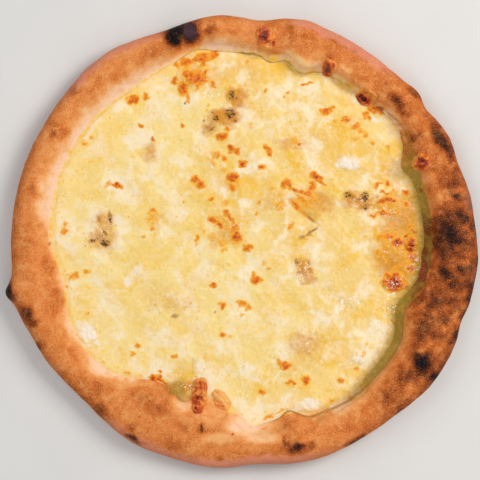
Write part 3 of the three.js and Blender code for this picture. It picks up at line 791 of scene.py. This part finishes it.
def crustLook():
    look = Look('bakedDough')
    grain, mottle = look.noise(*crust['grain']), look.noise(*crust['mottling'])

    def coat(under, colour, name, noiseValue):
        return look.coat(under, colour, name, noiseValue, *crust['coats'][name])

    grainDepth, mottleDepth = crust['grainDepths']
    bake = look.mask('bake')
    colour = look.ramp(look.stir(look.stir(bake, mottle, mottleDepth), grain, grainDepth), bakeColours)
    sandy = look.times(look.patches(*crust['sandyPatches']), look.span(bake, *crust['sandyOn']))
    colour = look.blend(colour, crust['sandy'], sandy)
    colour = coat(colour, crust['pinkFlour'], 'flour', grain)
    freckles = look.times(look.patches(*crust['freckles']), look.mask('speckled'))
    colour = look.blend(colour, crust['freckle'], look.times(freckles, crust['freckleShare']))
    # the trough's colour: oil, darkened by painted shade, darkest where it is deep
    oilAndShadePool = look.blend(crust['oilAndShade'], crust['thinOil'], look.patches(*crust['thinPatches']))
    oilAndShadePool = coat(oilAndShadePool, crust['deepOilAndShade'], 'deepOilAndShade', mottle)
    colour = coat(colour, oilAndShadePool, 'oilAndShade', mottle)
    cheeseColour = look.blend(cheese['base'], cheese['gold'], look.span(mottle, *crust['cheesePatches']))
    colour = coat(colour, cheeseColour, 'melted', mottle)
    # painted shade along the line where the layer meets the dough
    colour = coat(colour, crust['contactShade'], 'contactShade', mottle)
    colour = coat(colour, crust['browned'], 'browned', mottle)
    under = look.blend(crust['paleUnder'], crust['burntUnder'], look.patches(*crust['burntPatches']))
    colour = look.blend(colour, under, look.mask('underside'))
    # purplish burnt dough, with a painted sheen
    colour = coat(colour, crust['bloomAndSheen'], 'bloomAndSheen', grain)
    dust = look.times(look.patches(*crust['dusting']), look.span(bake, *crust['dustOn']))
    colour = look.blend(colour, crust['dust'], dust)
    roughness = look.span(look.mask('oilAndShade'), *crust['sheen'])
    normal = look.bump(grain, crust['grainBump'], look.bump(mottle, crust['mottleBump']))
    return look.dress(colour, roughness, normal, *crust['shine'])


cheese = {
    'cells': 296,  # squares along the grid that the layer starts from
    'edgeWidth': 3.2,
    'oilAndShadeReach': 1.5,  # how far the oil and painted shade reach into the layer, as a share of the trough's width
    'oilAndShadeEdge': (-0.15, 1),
    'lapOver': 0.9,  # how far it lies over the dough's edge
    'bead': (0.3, 3.4, 1.6),  # height, place and width of its rounded edge on the left
    'swelling': (0.36, 11, 121, 2), 'pitting': (0.2, 3.4, 131, 2),
    'wetPitting': (0.35, 2.6, 133, 2), 'spotRise': 0.4, 'milkRise': 0.3, 'foldDepth': 0.7,
    'straying': (1.2, 3.2, 3, 101, 111),  # how far marks stray, over what size, layers and seeds
    'farStraying': (2, 8, 3, 161, 171),
    'slant': (0.8, 0.6),  # turns the square grid of the colour fields away from the picture's
    'slantStraying': (2.5, 9, 2, 191, 195), 'golden': (0.5, 13, 141, 4),
    'creamy': (0.5, 10, 151, 4), 'oilAndShadeFringe': (1.2, 5, 181, 3),
    'goldOn': (0.0, 0.9, 0.35, 0.9),  # how the warm areas strengthen the gold
    'blotchesOn': (0.0, 0.9, 0.4, 0.9),  # and the blotches
    'blotchesInGold': (0.2, 0.8, 0.3, 1.0), 'brownedFrom': (0.08, 0.36), 'oilAndShadeMottle': 0.4,
    'thinOilFrom': (0.0, 0.75, 0.0, 0.8), 'oilAndShadeFrom': (0.55, 1.0, 0.0, 0.85),
    'glintsIn': (1.8, 0.25, 0.65),  # how torn the wet areas are for glints, and where these set in
    'glintShare': 0.85,
    'sheen': (0.0, 0.8, 0.4, 0.16),  # roughness from dry to wet
    'wetBump': (0.0, 0.9, 0.4, 1.0), 'waveBump': 0.45, 'fineBump': 0.5, 'grainBump': 0.1,
    'shine': (0.3, 0.12, 1.4),  # gloss, glow and how far the glow reaches
    # noise: size, layers, roughness and warp, then the span of its values that makes the patches
    'cloud': (14, 4, 0.5, 0.6), 'mottling': (5, 4, 0.6, 1.2), 'fine': (1.5, 4, 0.6),
    'grain': (0.8, 3, 0.6), 'waves': (2.8, 3, 0.5), 'ochreNoise': (3, 4, 0.65),
    'fleckNoise': (1.6, 4, 0.65, 0.5), 'curds': ((4, 3, 0.5, 0.8), (0.52, 0.76, 0.0, 0.5)),
    'blotches': ((2.4, 4, 0.6), (0.5, 0.7)), 'dots': ((3.0, 2, 0.4, 0.3), (0.66, 0.72, 0.0, 0.6)),
    'bitten': ((2.1, 5, 0.68, 0.3), (0.3, 0.7, 0.6, 1.35)),
    'glints': ((1.9, 4, 0.55, 1.4), (0.585, 0.64)),
    'sparkles': ((1.2, 2, 0.6), (0.7, 0.74, 0.0, 0.7)),
    # coats of colour: how torn, the mask's values from and to which each sets in, and its share
    'coats': {
        'warm': (0.8, 0.0, 1.3, 0.7), 'cream': (0.8, 0.3, 0.95, 1.0), 'gold': (0.9, 0.4, 1.1),
        'ochre': (0.9, 0.0, 1.05, 0.96), 'milk': (0.4, 0.25, 0.9, 0.85), 'grey': (0.6, 0.2, 1.0, 0.6),
        'folds': (0.5, 0.3, 1.1, 0.9), 'halo': (0.6, 0.02, 0.5, 0.55), 'vein': (3.0, 0.5, 0.95, 0.92),
    },
    'base': (245, 216, 138), 'cream': (248, 229, 190), 'gold': (242, 189, 44),
    'warm': (233, 176, 74), 'ochre': (214, 138, 10), 'vein': (66, 40, 0), 'halo': (190, 126, 26),
    # the folds' colour is painted shade
    'dot': (248, 198, 36), 'grey': (160, 126, 96), 'milk': (249, 234, 216), 'folds': (186, 100, 0),
    'glint': (255, 252, 248),
}
leftSide = [(160, 70, 1, 4)]
brownedColours = [
    (0.0, (244, 202, 96)), (0.2, (242, 180, 50)), (0.42, (236, 146, 18)), (0.68, (214, 98, 6)),
    (0.84, (186, 68, 4)), (0.93, (146, 42, 2)), (1.0, (92, 26, 2)),
]
# Broad areas where the layer is more golden
warmAreas = [
    (398, 230, 44, 66, 160), (330, 150, 80, 60, -20, 90), (235, 190, 60, 70, 70),
    (240, 70, 70, 25, 5, 110), (300, 110, 70, 40, 60), (350, 300, 60, 80, 60), (290, 385, 70, 36, 50),
    (385, 175, 36, 50, 90), (330, 370, 60, 40, 20, 50), (165, 385, 70, 24, 25, 80),
    # (252, 415) and (280, 409) lay painted shade along the layer's lower edge
    (310, 230, 60, 50, 70), (252, 415, 14, 5, 30, 70), (280, 409, 12, 4, 20, 90),
]
ochreStains = [
    (237, 98, 11, 90), (225, 117, 18, 9, 10, 95), (209, 128, 10, 9, 60), (104, 220, 12, 9, 70),
    (102, 240, 16, 11, 60), (230, 125, 6, 5, 60), (101, 217, 6, 8, 50), (98, 240, 12, 7, 60),
    (106, 229, 8, 9, 55), (386, 205, 14, 6, 10, 85), (380, 240, 8, 5, 20, 60), (305, 270, 11, 12, 70),
    (310, 279, 9, 7, 60), (299, 262, 6, 5, 60), (275, 200, 16, 11, -20, 38), (300, 205, 16, 9, -30, 50),
    (312, 214, 12, 5, -25, 50), (228, 235, 13, 12, 50), (213, 240, 9, 8, 45), (160, 297, 23, 20, 28),
    (353, 257, 24, 8), (305, 345, 20, 14, 55), (160, 222, 9, 12, 30), (150, 152, 7, 14, 60),
    (290, 145, 18, 6, 50), (374, 100, 16, 10, -30, 30), (392, 130, 8, 12, 30), (365, 80, 14, 6, -35, 30),
    # (183, 386) colours the pocket by the lip: partly its own darker yellow, partly painted shade
    (183, 386, 11, 7, 20, 100), (250, 100, 16, 25), (174, 305, 22, 10, 35), (200, 150, 16, 8, 15),
    (300, 360, 26, 12, 10, 25), (402, 222, 24, 32, 75), (400, 258, 26, 28, 100),
    (385, 236, 14, 5, 10, 80), (352, 198, 12, 9, 80), (366, 203, 11, 10, 80), (420, 248, 7, 28, 90),
    (318, 202, 22, 12, -30, 65), (395, 172, 20, 18, 35), (404, 200, 14, 12, 50), (196, 74, 26, 14, 35),
    (236, 230, 20, 12), (230, 182, 16, 12, 25),
]
darkVeins = [
    (232, 95, 2.5, 4, 100), (236, 98, 2.5, 2, 70), (230, 114, 4, 4.5, 100), (233, 119, 3.5, 2, -30, 80),
    (216, 118, 2.5, 3, 90), (213, 113, 2, 50), (212, 128, 2.5, 1.5, 20, 80), (209, 128, 4, 3.5, 45),
    (99, 219, 1.5, 2.5, 70), (110, 218, 1.5, 5.5, 10, 100), (92, 241, 3, 1.5, 15, 95),
    (97, 239, 2.5, 1.5, 50), (105, 243, 4, 3, -20, 105), (105, 233, 1.5, 3, 40, 80),
    (101, 236, 2.5, 1.5, 50), (348, 195, 3.5, 2.5, -10, 85), (352, 197, 3, 2, 70), (365, 197, 3, 4, 110),
    (366, 207, 3, 2, 30, 95), (358, 200, 2.5, 2, 60), (375, 206, 1, 80), (371, 205, 2, 1, 50),
    (246, 52, 3.5, 1, -10, 90), (297, 262, 2, 3, 20, 60), (300, 272, 2, 1.5, 50), (304, 284, 3.5, 1, 45),
    (309, 262, 1, 3, 35), (185, 103, 1, 95), (204, 121, 1, 80), (215, 312, 1, 80),
    (174, 316, 2.5, 1.2, 50), (304, 237, 4, 0.8, 25, 70), (312, 231, 5, 0.8, 30, 80), (85, 246, 1, 60),
    (184, 215, 1, 0.5, 40),
]
greyPatches = [
    (209, 127, 6.5, 5.5, 40), (303, 236, 4, 1.8, 25, 100), (311, 232, 6, 2.8, 25, 110),
    (317, 229, 3, 1.5, 30, 60), (378, 196, 2, 90), (174, 316, 4, 3, 160), (157, 305, 10, 4, 30, 30),
    (135, 270, 8, 3, 60, 35), (190, 305, 6, 4, 30), (358, 248, 4, 2, 30), (245, 366, 2.5, 6, 50),
    (240, 380, 3, 6, 35), (298, 264, 3, 50), (133, 138, 2, 40), (283, 133, 8, 5, 25),
    (101, 237, 7, 5, 40), (205, 361, 4, 2, 30),
]
milkyLumps = [
    (350, 162, 14, 9, 90), (341, 164, 5, 3, -20, 80), (135, 271, 5, 13, -40, 70), (127, 281, 6, 70),
    (88, 332, 9, 12, 30, 90), (80, 325, 4, 6, 70), (94, 342, 5, 4, 70), (199, 366, 6, 12, 75),
    (312, 404, 15, 7, 8, 80), (297, 411, 8, 3, 20, 60), (358, 358, 8, 6, 70), (348, 300, 7, 12, 20, 40),
    (385, 305, 8, 10, 35), (240, 150, 7, 6, 50), (236, 195, 8, 5, 50), (147, 178, 9, 6, 60),
    (270, 65, 12, 5, 20, 30), (375, 120, 9, 6, -20, 75), (400, 190, 12, 5, 30), (325, 322, 8, 10, 50),
    (395, 255, 5, 6, 35), (240, 405, 4, 12, 35), (270, 133, 8, 6, 55), (285, 240, 30, 14, 28),
    (325, 265, 18, 16, 25), (118, 120, 14, 10, 20), (196, 98, 5, 6, 50), (209, 89, 2.5, 5, 70),
    (218, 64, 3, 6, 50), (240, 185, 5, 30), (264, 203, 7, 9, 40), (200, 320, 18, 8, 30),
    (335, 310, 12, 7, 20, 60), (352, 335, 9, 7, 60), (320, 288, 10, 5, 40),
]
# Wet areas: smoother and more pitted, and where the painted glints lie
wetAreas = [
    (395, 283, 11, 10, 90), (413, 262, 12, 14, 90), (393, 250, 16, 50), (207, 90, 12, 10, 70),
    (222, 66, 4, 10, 60), (183, 386, 12, 8, 70), (67, 125, 7, 30, -25, 70), (60, 200, 6, 30, 60),
    (390, 298, 12, 8, -30, 90), (341, 305, 10, 7, 20, 100), (388, 312, 10, 80), (243, 396, 4, 16, 8, 90),
    (178, 372, 8, 6, 80), (350, 162, 14, 9, 80), (88, 332, 10, 12, 60), (312, 404, 16, 8, 70),
    (358, 360, 10, 9, 80), (212, 92, 14, 6, 60), (305, 270, 13, 80), (360, 202, 16, 9, 60),
    (385, 210, 18, 8, 70), (240, 106, 6, 5, 60), (100, 236, 14, 12, 50), (199, 366, 7, 12, 60),
    (212, 163, 10, 50), (306, 345, 20, 14, 40), (235, 225, 24, 20, 45), (333, 128, 30, 12, 20, 40),
    (326, 265, 10, 50), (375, 325, 17, 16, 70), (362, 352, 12, 10, 70), (343, 306, 20, 10, 10, 80),
    (330, 285, 12, 8, 50), (90, 330, 12, 14, 60), (140, 350, 14, 10, 40), (267, 205, 10, 50),
]
# Folds in the layer: lines sunk into its top, along which its colour is darkened as painted shade
folds = [
    (290, 200, 300, 211, 3.2, 1.2), (294, 206, 320, 226, 2.2, 1.1), (303, 237, 316, 229, 1.6, 0.6),
    (197, 234, 198, 246, 1.4, 0.6), (108, 214, 111, 224, 1.6, 0.6), (388, 262, 378, 236, 1.4, 0.5),
    (343, 128, 368, 122, 2, 0.3), (153, 146, 146, 172, 3, 0.4), (222, 118, 246, 124, 2, 0.4),
    (300, 262, 306, 284, 1.6, 0.7), (310, 260, 308, 276, 1.4, 0.7),
]


def wandered(x, y):
    return strayed(x, y, cheese['straying'])


def layerReliefAt(x, y):
    # the top of the melted layer: soft folds, small pits, blisters under the browned spots
    relief = fieldAt(cheese['swelling'], x, y) + fieldAt(cheese['pitting'], x, y)
    relief += fieldAt(cheese['wetPitting'], x, y, marksAt(wetAreas, x, y, *fades['wetRelief']))
    relief += (cheese['spotRise'] * marksAt(brownedSpots, *wandered(x, y), *fades['spotRelief'])
               + cheese['milkRise'] * marksAt(milkyLumps, x, y, *fades['spotRelief']))
    return cheeseHeightAt(x, y) + relief - cheese['foldDepth'] * linesAt(folds, x, y)


def markCheese(piece):
    x, y, _ = fromFrame(readPoints(piece)).T
    near, far = wandered(x, y), strayed(x, y, cheese['farStraying'])
    for name, marks, places in (
            ('warm', warmAreas, far), ('ochre', ochreStains, far), ('grey', greyPatches, near),
            ('milk', milkyLumps, far), ('wet', wetAreas, far)):
        writeMask(piece, name, marksAt(marks, *places, *fades[name]))
    writeMask(piece, 'browned', marksAt(brownedSpots, *near, *fades['spot']) / strongestMark)
    writeMask(piece, 'veins', marksAt(darkVeins, x, y, *fades['vein']) / strongestMark)
    writeMask(piece, 'folds', linesAt(folds, x, y))
    (farX, farY), (cosSlant, sinSlant) = far, cheese['slant']
    slanted = (cosSlant * farX + sinSlant * farY, cosSlant * farY - sinSlant * farX)
    slanted = strayed(x, y, cheese['slantStraying'], slanted)
    writeMask(piece, 'gold', 0.5 + fieldAt(cheese['golden'], *slanted))
    writeMask(piece, 'cream', 0.5 + fieldAt(cheese['creamy'], *slanted))
    angle, away = angleOf(x, y), np.hypot(x, y)
    # beside the trough the layer's edge takes the oil and the painted shade
    fromEdge = cheeseEdgeAt(angle) - away + fieldAt(cheese['oilAndShadeFringe'], x, y)
    trough = swellAt(troughSwells, angle)
    oilAndShadeFade = 1 - smoothStep(*cheese['oilAndShadeEdge'], fromEdge / (1 + cheese['oilAndShadeReach'] * trough))
    filled = smoothStep(*crust['troughDepth'], trough)
    writeMask(piece, 'oilAndShade', filled * swellAt(oilAndShadeSwells, angle) * oilAndShadeFade)


def cheeseLook(name):
    look = Look(name)
    cloud, mottle, fine, grain = [look.noise(*cheese[kind])
                                  for kind in ('cloud', 'mottling', 'fine', 'grain')]
    warm, wet = look.mask('warm'), look.mask('wet')

    def coat(under, kind, noiseValue, *share, mask=None):
        return look.coat(under, cheese[kind], mask or kind, noiseValue, *cheese['coats'][kind], *share)

    colour = coat(cheese['base'], 'warm', cloud)
    colour = coat(colour, 'cream', cloud)
    colour = coat(colour, 'gold', mottle, look.span(warm, *cheese['goldOn']))
    colour = look.blend(colour, cheese['cream'], look.patches(*cheese['curds']))
    inGold = look.span(look.mask('gold'), *cheese['blotchesInGold'])
    blotches = look.times(look.patches(*cheese['blotches']),
                          look.times(inGold, look.span(warm, *cheese['blotchesOn'])))
    colour = look.blend(colour, cheese['gold'], blotches)
    colour = look.blend(colour, cheese['dot'], look.patches(*cheese['dots']))
    colour = coat(colour, 'ochre', look.noise(*cheese['ochreNoise']))
    # milk and grey are the cheese's own colours; along the folds the colour is painted shade
    for kind in ('milk', 'grey', 'folds'):
        colour = coat(colour, kind, fine)
    browned = look.times(look.mask('browned'), look.patches(*cheese['bitten']))
    shade = look.ramp(browned, brownedColours)
    colour = look.blend(colour, shade, look.span(browned, *cheese['brownedFrom']))
    # oil and painted shade where the layer meets the trough
    oilAndShade = look.stir(look.mask('oilAndShade'), mottle, cheese['oilAndShadeMottle'])
    for kind in ('thinOil', 'oilAndShade'):
        colour = look.blend(colour, crust[kind], look.span(oilAndShade, *cheese[kind + 'From']))
    colour = coat(colour, 'halo', fine, mask='veins')
    colour = coat(colour, 'vein', look.noise(*cheese['fleckNoise']), mask='veins')
    # painted highlights: near-white glints laid into the colour where the layer is wet, and tiny sparkles
    # all over
    glints = look.times(look.patches(*cheese['glints']), look.ragged(wet, mottle, *cheese['glintsIn']))
    colour = look.blend(colour, cheese['glint'], look.times(glints, cheese['glintShare']))
    colour = look.blend(colour, cheese['glint'], look.patches(*cheese['sparkles']))
    relief = look.bump(look.noise(*cheese['waves']), cheese['waveBump'])
    relief = look.bump(fine, cheese['fineBump'], relief, look.span(wet, *cheese['wetBump']))
    normal = look.bump(grain, cheese['grainBump'], relief)
    return look.dress(colour, look.span(wet, *cheese['sheen']), normal, *cheese['shine'])


def makeCheeseLayer():
    piece = addNew('cheeseLayer', bpy.ops.mesh.primitive_grid_add,
                   x_subdivisions=cheese['cells'], y_subdivisions=cheese['cells'], size=2)
    across, up, _ = readPoints(piece).T
    # the square grid is eased into a round one, then out to the dough's inner outline
    roundX = across * np.sqrt(1 - up ** 2 / 2)
    roundY = up * np.sqrt(1 - across ** 2 / 2)
    share, angle = np.hypot(roundX, roundY), angleOf(roundX, roundY)
    edge = cheeseEdgeAt(angle) + cheese['lapOver']
    x, y = roundX * edge, roundY * edge
    fromEdge = (1 - share) * edge
    fall = layer['edgeFall'] * np.exp(-(fromEdge / cheese['edgeWidth']) ** 2)
    beadHeight, beadPlace, beadWidth = cheese['bead']
    bead = beadHeight * swellAt(leftSide, angle) * np.exp(-((fromEdge - beadPlace) / beadWidth) ** 2)
    z = layerReliefAt(x, y) - fall + bead
    placePoints(piece, x, y, z)
    editPiece(piece)
    bpy.ops.mesh.select_all(action='DESELECT')
    bpy.ops.mesh.select_mode(type='EDGE')
    bpy.ops.mesh.select_non_manifold()
    depth = (layer['level'] - layer['bottom']) * millimetre
    bpy.ops.mesh.extrude_region_move(TRANSFORM_OT_translate={'value': (0, 0, -depth)})
    bpy.ops.mesh.edge_face_add()
    closeEdit()
    return piece


bakedCrust = makeCrust()
markCrust(bakedCrust)
finishPiece(bakedCrust, crustLook(), 'crust', 'crust')
print('crust done')

cheeseLayer = makeCheeseLayer()
markCheese(cheeseLayer)
finishPiece(cheeseLayer, cheeseLook('meltedCheese'), 'melted_cheese', 'melted_cheese')
print('melted cheese done')


# Lumps in the layer and on the rim: (x, y, half length, half width, rise, turn, how wrinkled)
lumps = {
    'detail': 5,  # how often the ball that each starts from is subdivided
    'sunk': 0.45,  # how far a lump's widest line lies under the surface
    'depth': 1.6,  # how far its underside goes into the layer
    'dome': 0.75,  # power of the rise towards its top
    'outline': [(0.14, 1.6), (0.07, 4)],  # how uneven its outline is, and in how many waves
    'outlineShift': 9, 'wrinkleSize': 3.2,
    'grain': (0.18, 2.0, 2),  # height, size and layers
    'grainFrom': (0.0, 0.5),  # how far up the lump the grain sets in
    'curlHeight': 0.9, 'curlFrom': (0.1, 0.6),
    'grooveDepth': 0.8,  # as a share of the curls' height
    'seeds': {'blue': 300, 'soft': 400, 'fried': 500, 'onRim': 600},
    'seedStep': 10,  # from one lump to the next
    'blue': [
        (-7, 97, 7, 9, 0.7, 0, 0.5), (-18, 84, 10, 6, 0.7, 0, 0.5), (-98, 8, 9, 12, 0.7, 0, 0.5),
        (84, 30, 12, 6, 0.7, 0, 0.5), (44, -20, 8, 10, 0.8, 0, 0.7), (48, 6, 9, 3, 0.9, 25, 0.4),
    ],
    'soft': [
        (77, 56, 10, 6.5, 0.9, 0, 0.3), (-107, -63, 9, 8, 0.8, 0, 0.3), (-73, -20, 10, 6, 0.6, 45, 0.3),
        (50, -114, 11, 6, 0.8, 8, 0.3), (-30, -87, 5, 8, 0.7, 0, 0.3), (83, -81, 6, 5, 0.8, 0, 0.3),
    ],
    'fried': [
        (-33, 116, 13, 7.5, 1.5, 10, 0.7), (107, -29, 8, 6.5, 1.8, -20, 0.8), (119, -1, 5, 7, 2.0, 20, 0.6),
        (44, 35, 13, 5, 1.0, -38, 0.2),
    ],
    'onRim': [
        (17, 142, 6.5, 9, 2.6, 15, 0.9), (61, 121, 5, 6, 2.4, -20, 0.9),
        (87.5, 101, 7.6, 5.6, 2.4, -36, 0.9), (125, 55, 6.5, 5.5, 2.6, 20, 0.8),
        (-29, -107, 6, 12, 4.4, -6, 0.7), (-14, -110, 8, 5, 2.6, -50, 0.25),
    ],
}
# Raised curls on the knobs, and dark creases between them
curls = [
    (192, 386, 199, 380, 2.2, 1), (199, 380, 208, 380, 2.4, 1.2), (208, 380, 213, 388, 2.2, 1),
    (195, 397, 202, 391, 1.8, 0.9), (202, 391, 207, 398, 1.8, 0.9), (194, 405, 203, 402, 1.8, 0.8),
    (257, 32, 262, 27, 2.2, 1), (262, 27, 270, 31, 2.2, 1), (270, 31, 272, 41, 2.2, 0.8),
    (260, 42, 268, 48, 2, 0.8), (322, 64, 328, 62, 1.8, 0.8), (328, 62, 331, 70, 1.8, 0.8),
    (356, 96, 362, 92, 2, 0.9), (362, 92, 369, 98, 2, 0.9), (364, 103, 372, 108, 2, 0.8),
    (415, 160, 421, 157, 2, 0.8), (421, 157, 425, 165, 2, 0.8), (213, 392, 224, 404, 2.2, 0.7),
]
grooves = [
    (193, 393, 200, 387, 1.3, 0.9), (200, 387, 208, 391, 1.3, 0.8), (193, 400, 199, 397, 1.2, 0.9),
    (199, 397, 206, 402, 1.2, 0.9), (200, 403, 204, 408, 1.2, 0.7), (259, 36, 265, 40, 1.2, 0.8),
    (265, 40, 271, 36, 1.2, 0.7), (261, 46, 269, 43, 1.2, 0.7), (324, 69, 331, 73, 1.2, 0.8),
    (357, 101, 364, 99, 1.2, 0.8), (364, 99, 369, 104, 1.2, 0.8), (416, 164, 423, 161, 1.2, 0.8),
    (216, 396, 226, 408, 1, 0.5),
]


def surfaceUnder(x, y):
    # the height of the crust or the cheese straight below each point
    heights = np.empty_like(x)
    fromHeight = 1.0    # metres
    for index, (px, py) in enumerate(zip(x, y)):
        start = Vector(toFrame(np.array([px, py, 0]))) + Vector((0, 0, fromHeight))
        hits = [piece.ray_cast(start, Vector((0, 0, -1))) for piece in (bakedCrust, cheeseLayer)]
        heights[index] = max(hit[1].z for hit in hits if hit[0]) / millimetre
    return heights


def makeLump(name, lump, seed):
    atX, atY, length, width, rise, turn, wrinkled = lump
    piece = addNew(name, bpy.ops.mesh.primitive_ico_sphere_add, subdivisions=lumps['detail'], radius=1)
    across, along, up = readPoints(piece).T
    angle = np.radians(angleOf(across, along))
    outline = 1
    for part, (uneven, waves) in enumerate(lumps['outline']):
        shiftedX = waves * np.cos(angle) + lumps['outlineShift']
        outline = outline + uneven * randomField(shiftedX, waves * np.sin(angle), 1, seed + part)
    across, along = across * outline * length, along * outline * width
    cosTurn, sinTurn = math.cos(math.radians(turn)), math.sin(math.radians(turn))
    x, y = atX + across * cosTurn - along * sinTurn, atY + across * sinTurn + along * cosTurn
    top, bottom = np.clip(up, 0, 1), np.clip(-up, 0, 1)
    sunk = lumps['sunk']
    bumpy = 1 + wrinkled * (wrinkleField(x, y, lumps['wrinkleSize'], seed + 2) - 0.5)
    z = surfaceUnder(x, y) - sunk + (rise + sunk) * top ** lumps['dome'] * bumpy - lumps['depth'] * bottom
    height, size, layers = lumps['grain']
    z += fieldAt((height, size, seed + 3, layers), x, y, smoothStep(*lumps['grainFrom'], top))
    curled = linesAt(curls, x, y) - lumps['grooveDepth'] * linesAt(grooves, x, y)
    z += lumps['curlHeight'] * smoothStep(*lumps['curlFrom'], top) * curled
    placePoints(piece, x, y, z)
    return piece


def seedOf(kind, index):
    return lumps['seeds'][kind] + lumps['seedStep'] * index


def makeLumps(kind, nodes, look, slot):
    for index, lump in enumerate(lumps[kind], 1):
        piece = makeLump(f'{kind}Lump{index}', lump, seedOf(kind, index))
        markCheese(piece)
        finishPiece(piece, look, slot, f'{nodes}_{index}')


makeLumps('blue', 'blue_cheese', cheeseLook('blueCheese'), 'blue_cheese')
makeLumps('soft', 'soft_cheese', cheeseLook('softCheese'), 'soft_cheese')
makeLumps('fried', 'fried_cheese', cheeseLook('friedCheese'), 'fried_cheese')
print('lumps in the layer done')

knobs = {
    'crisp': 0.2,  # how crisp they are on the whole: 0 pale, 1 dark brown
    'crispMarks': 0.48,  # how much more under a mark
    'crispRidges': 0.5,  # how much less of that on the ridges
    'palerBy': 0.1, 'grooves': 0.18, 'curls': 0.12,
    'fine': (1.3, 4, 0.6),  # noise: size, layers, roughness and warp
    'folds': (2.2, 3, 0.5, 0.8), 'mottle': 0.3, 'foldBump': 0.9, 'fineBump': 0.3,
    'sheen': (0.3, 0.7, 0.2, 0.4),
    'shine': (0.5, 0.12, 1.5),  # gloss, glow and how far the glow reaches
}
knobColours = [
    (0.0, (244, 188, 104)), (0.25, (238, 150, 60)), (0.5, (214, 94, 24)), (0.75, (160, 50, 14)),
    (1.0, (88, 26, 14)),
]
paleKnobs = [(221, 399, 14, 12, -45, 100), (278, 57, 8, 6, 70)]
crispMarks = [
    (264, 37, 8, 10, 100), (273, 45, 3, 4, 80), (281, 49, 2, 5, 20, 50), (272, 60, 6, 2, 50),
    (327, 69, 6, 8, 90), (331, 60, 4, 3, 40), (362, 99, 8, 7, -35, 110), (377, 109, 7, 3.5, 70),
    (420, 163, 8, 7, 90), (197, 400, 5, 10, 75), (197, 409, 5, 4, 110), (203, 384, 9, 6, 60),
    (204, 396, 2, 8, 40), (221, 405, 9, 2.2, -45, 50), (218, 393, 3, 2, 40),
]


def friedLook():
    look = Look('friedKnob')
    fine = look.noise(*knobs['fine'])
    colour = look.ramp(look.stir(look.mask('crisp'), fine, knobs['mottle']), knobColours)
    relief = look.bump(look.noise(*knobs['folds']), knobs['foldBump'])
    normal = look.bump(fine, knobs['fineBump'], relief)
    return look.dress(colour, look.span(fine, *knobs['sheen']), normal, *knobs['shine'])


def makeKnobs():
    look = friedLook()
    for index, lump in enumerate(lumps['onRim'], 1):
        seed = seedOf('onRim', index)
        piece = makeLump(f'knobLump{index}', lump, seed)
        x, y, _ = fromFrame(readPoints(piece)).T
        ridges = wrinkleField(x, y, lumps['wrinkleSize'], seed + 2)
        marked = marksAt(crispMarks, *wandered(x, y), *fades['crisp'])
        crisp = knobs['crisp'] + knobs['crispMarks'] * marked
        # under the marks the ridges are paler and the hollows darker, and the grooves darker and the curls
        # paler: painted light and shade on the relief
        crisp -= knobs['crispRidges'] * marked * (ridges - 0.5)
        crisp -= knobs['palerBy'] * marksAt(paleKnobs, x, y, *fades['paleKnob'])
        crisp += knobs['grooves'] * linesAt(grooves, x, y) - knobs['curls'] * linesAt(curls, x, y)
        writeMask(piece, 'crisp', crisp)
        finishPiece(piece, look, 'fried_cheese', f'rim_cheese_{index}')


makeKnobs()
print('knobs on the rim done')

setting = {
    'frameWidth': 336.0,  # what the picture's width takes in, at the rim's widest height
    'lens': 120.0, 'sensor': 36.0,
    'pictureMiddle': (240, 240),  # pixels
    'tableSize': 6.0,  # metres
    'tableColours': [(214, 212, 208), (224, 222, 218)],
    'tableNoise': (60, 3),  # size and layers
    'tableRoughness': 0.7, 'roomLight': 0.32, 'roomColour': (0.9, 0.93, 1.0, 1),
}
lamps = [
    # name, place in metres, size in metres, watts, colour
    ('keyLamp', (0.95, 0.45, 1.05), 0.7, 15.1, (1.0, 0.97, 0.93)),
    ('fillLamp', (-0.9, 0.5, 1.2), 1.2, 7.3, (0.95, 0.97, 1.0)),
    ('frontLamp', (-0.1, -1.1, 1.1), 1.2, 4.6, (1.0, 0.98, 0.96)),
]


def makeTable():
    table = addNew('table', bpy.ops.mesh.primitive_plane_add, size=setting['tableSize'], location=(0, 0, 0))
    look = Look('paleTable')
    colour = look.blend(*setting['tableColours'], look.noise(*setting['tableNoise']))
    look.plug(look.shader, {'Base Color': colour, 'Roughness': setting['tableRoughness']})
    table.data.materials.append(look.material)
    table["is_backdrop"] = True


def addLamp(name, place, size, watts, colour):
    lamp = addNew(name, bpy.ops.object.light_add, type='AREA', location=place)
    lamp.data.size = size
    lamp.data.energy = watts
    lamp.data.color = colour
    lamp.rotation_mode = 'QUATERNION'
    lamp.rotation_quaternion = (-lamp.location).to_track_quat('-Z', 'Y')


def lightRoom():
    world = bpy.data.worlds.new('paleRoom')
    bpy.context.scene.world = world
    world.use_nodes = True
    background = world.node_tree.nodes['Background']
    background.inputs['Color'].default_value = setting['roomColour']
    background.inputs['Strength'].default_value = setting['roomLight']
    bpy.context.scene.view_settings.view_transform = 'Standard'


def addCamera():
    pictureX, pictureY, _ = toFrame(np.array([*fromPhoto(*setting['pictureMiddle']), 0.0]))
    distance = setting['frameWidth'] * setting['lens'] / setting['sensor'] + rim['widestHeight']
    camera = addNew('camera', bpy.ops.object.camera_add,
                    location=(pictureX, pictureY, distance * millimetre), rotation=(0, 0, 0))
    camera.data.lens = setting['lens']
    camera.data.sensor_width = setting['sensor']
    bpy.context.scene.camera = camera


makeTable()
for lamp in lamps:
    addLamp(*lamp)
lightRoom()
addCamera()
print('stage done')

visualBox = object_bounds()
sizes = {'cad': [list(corner) for corner in cadBox], 'visual': [list(corner) for corner in visualBox]}
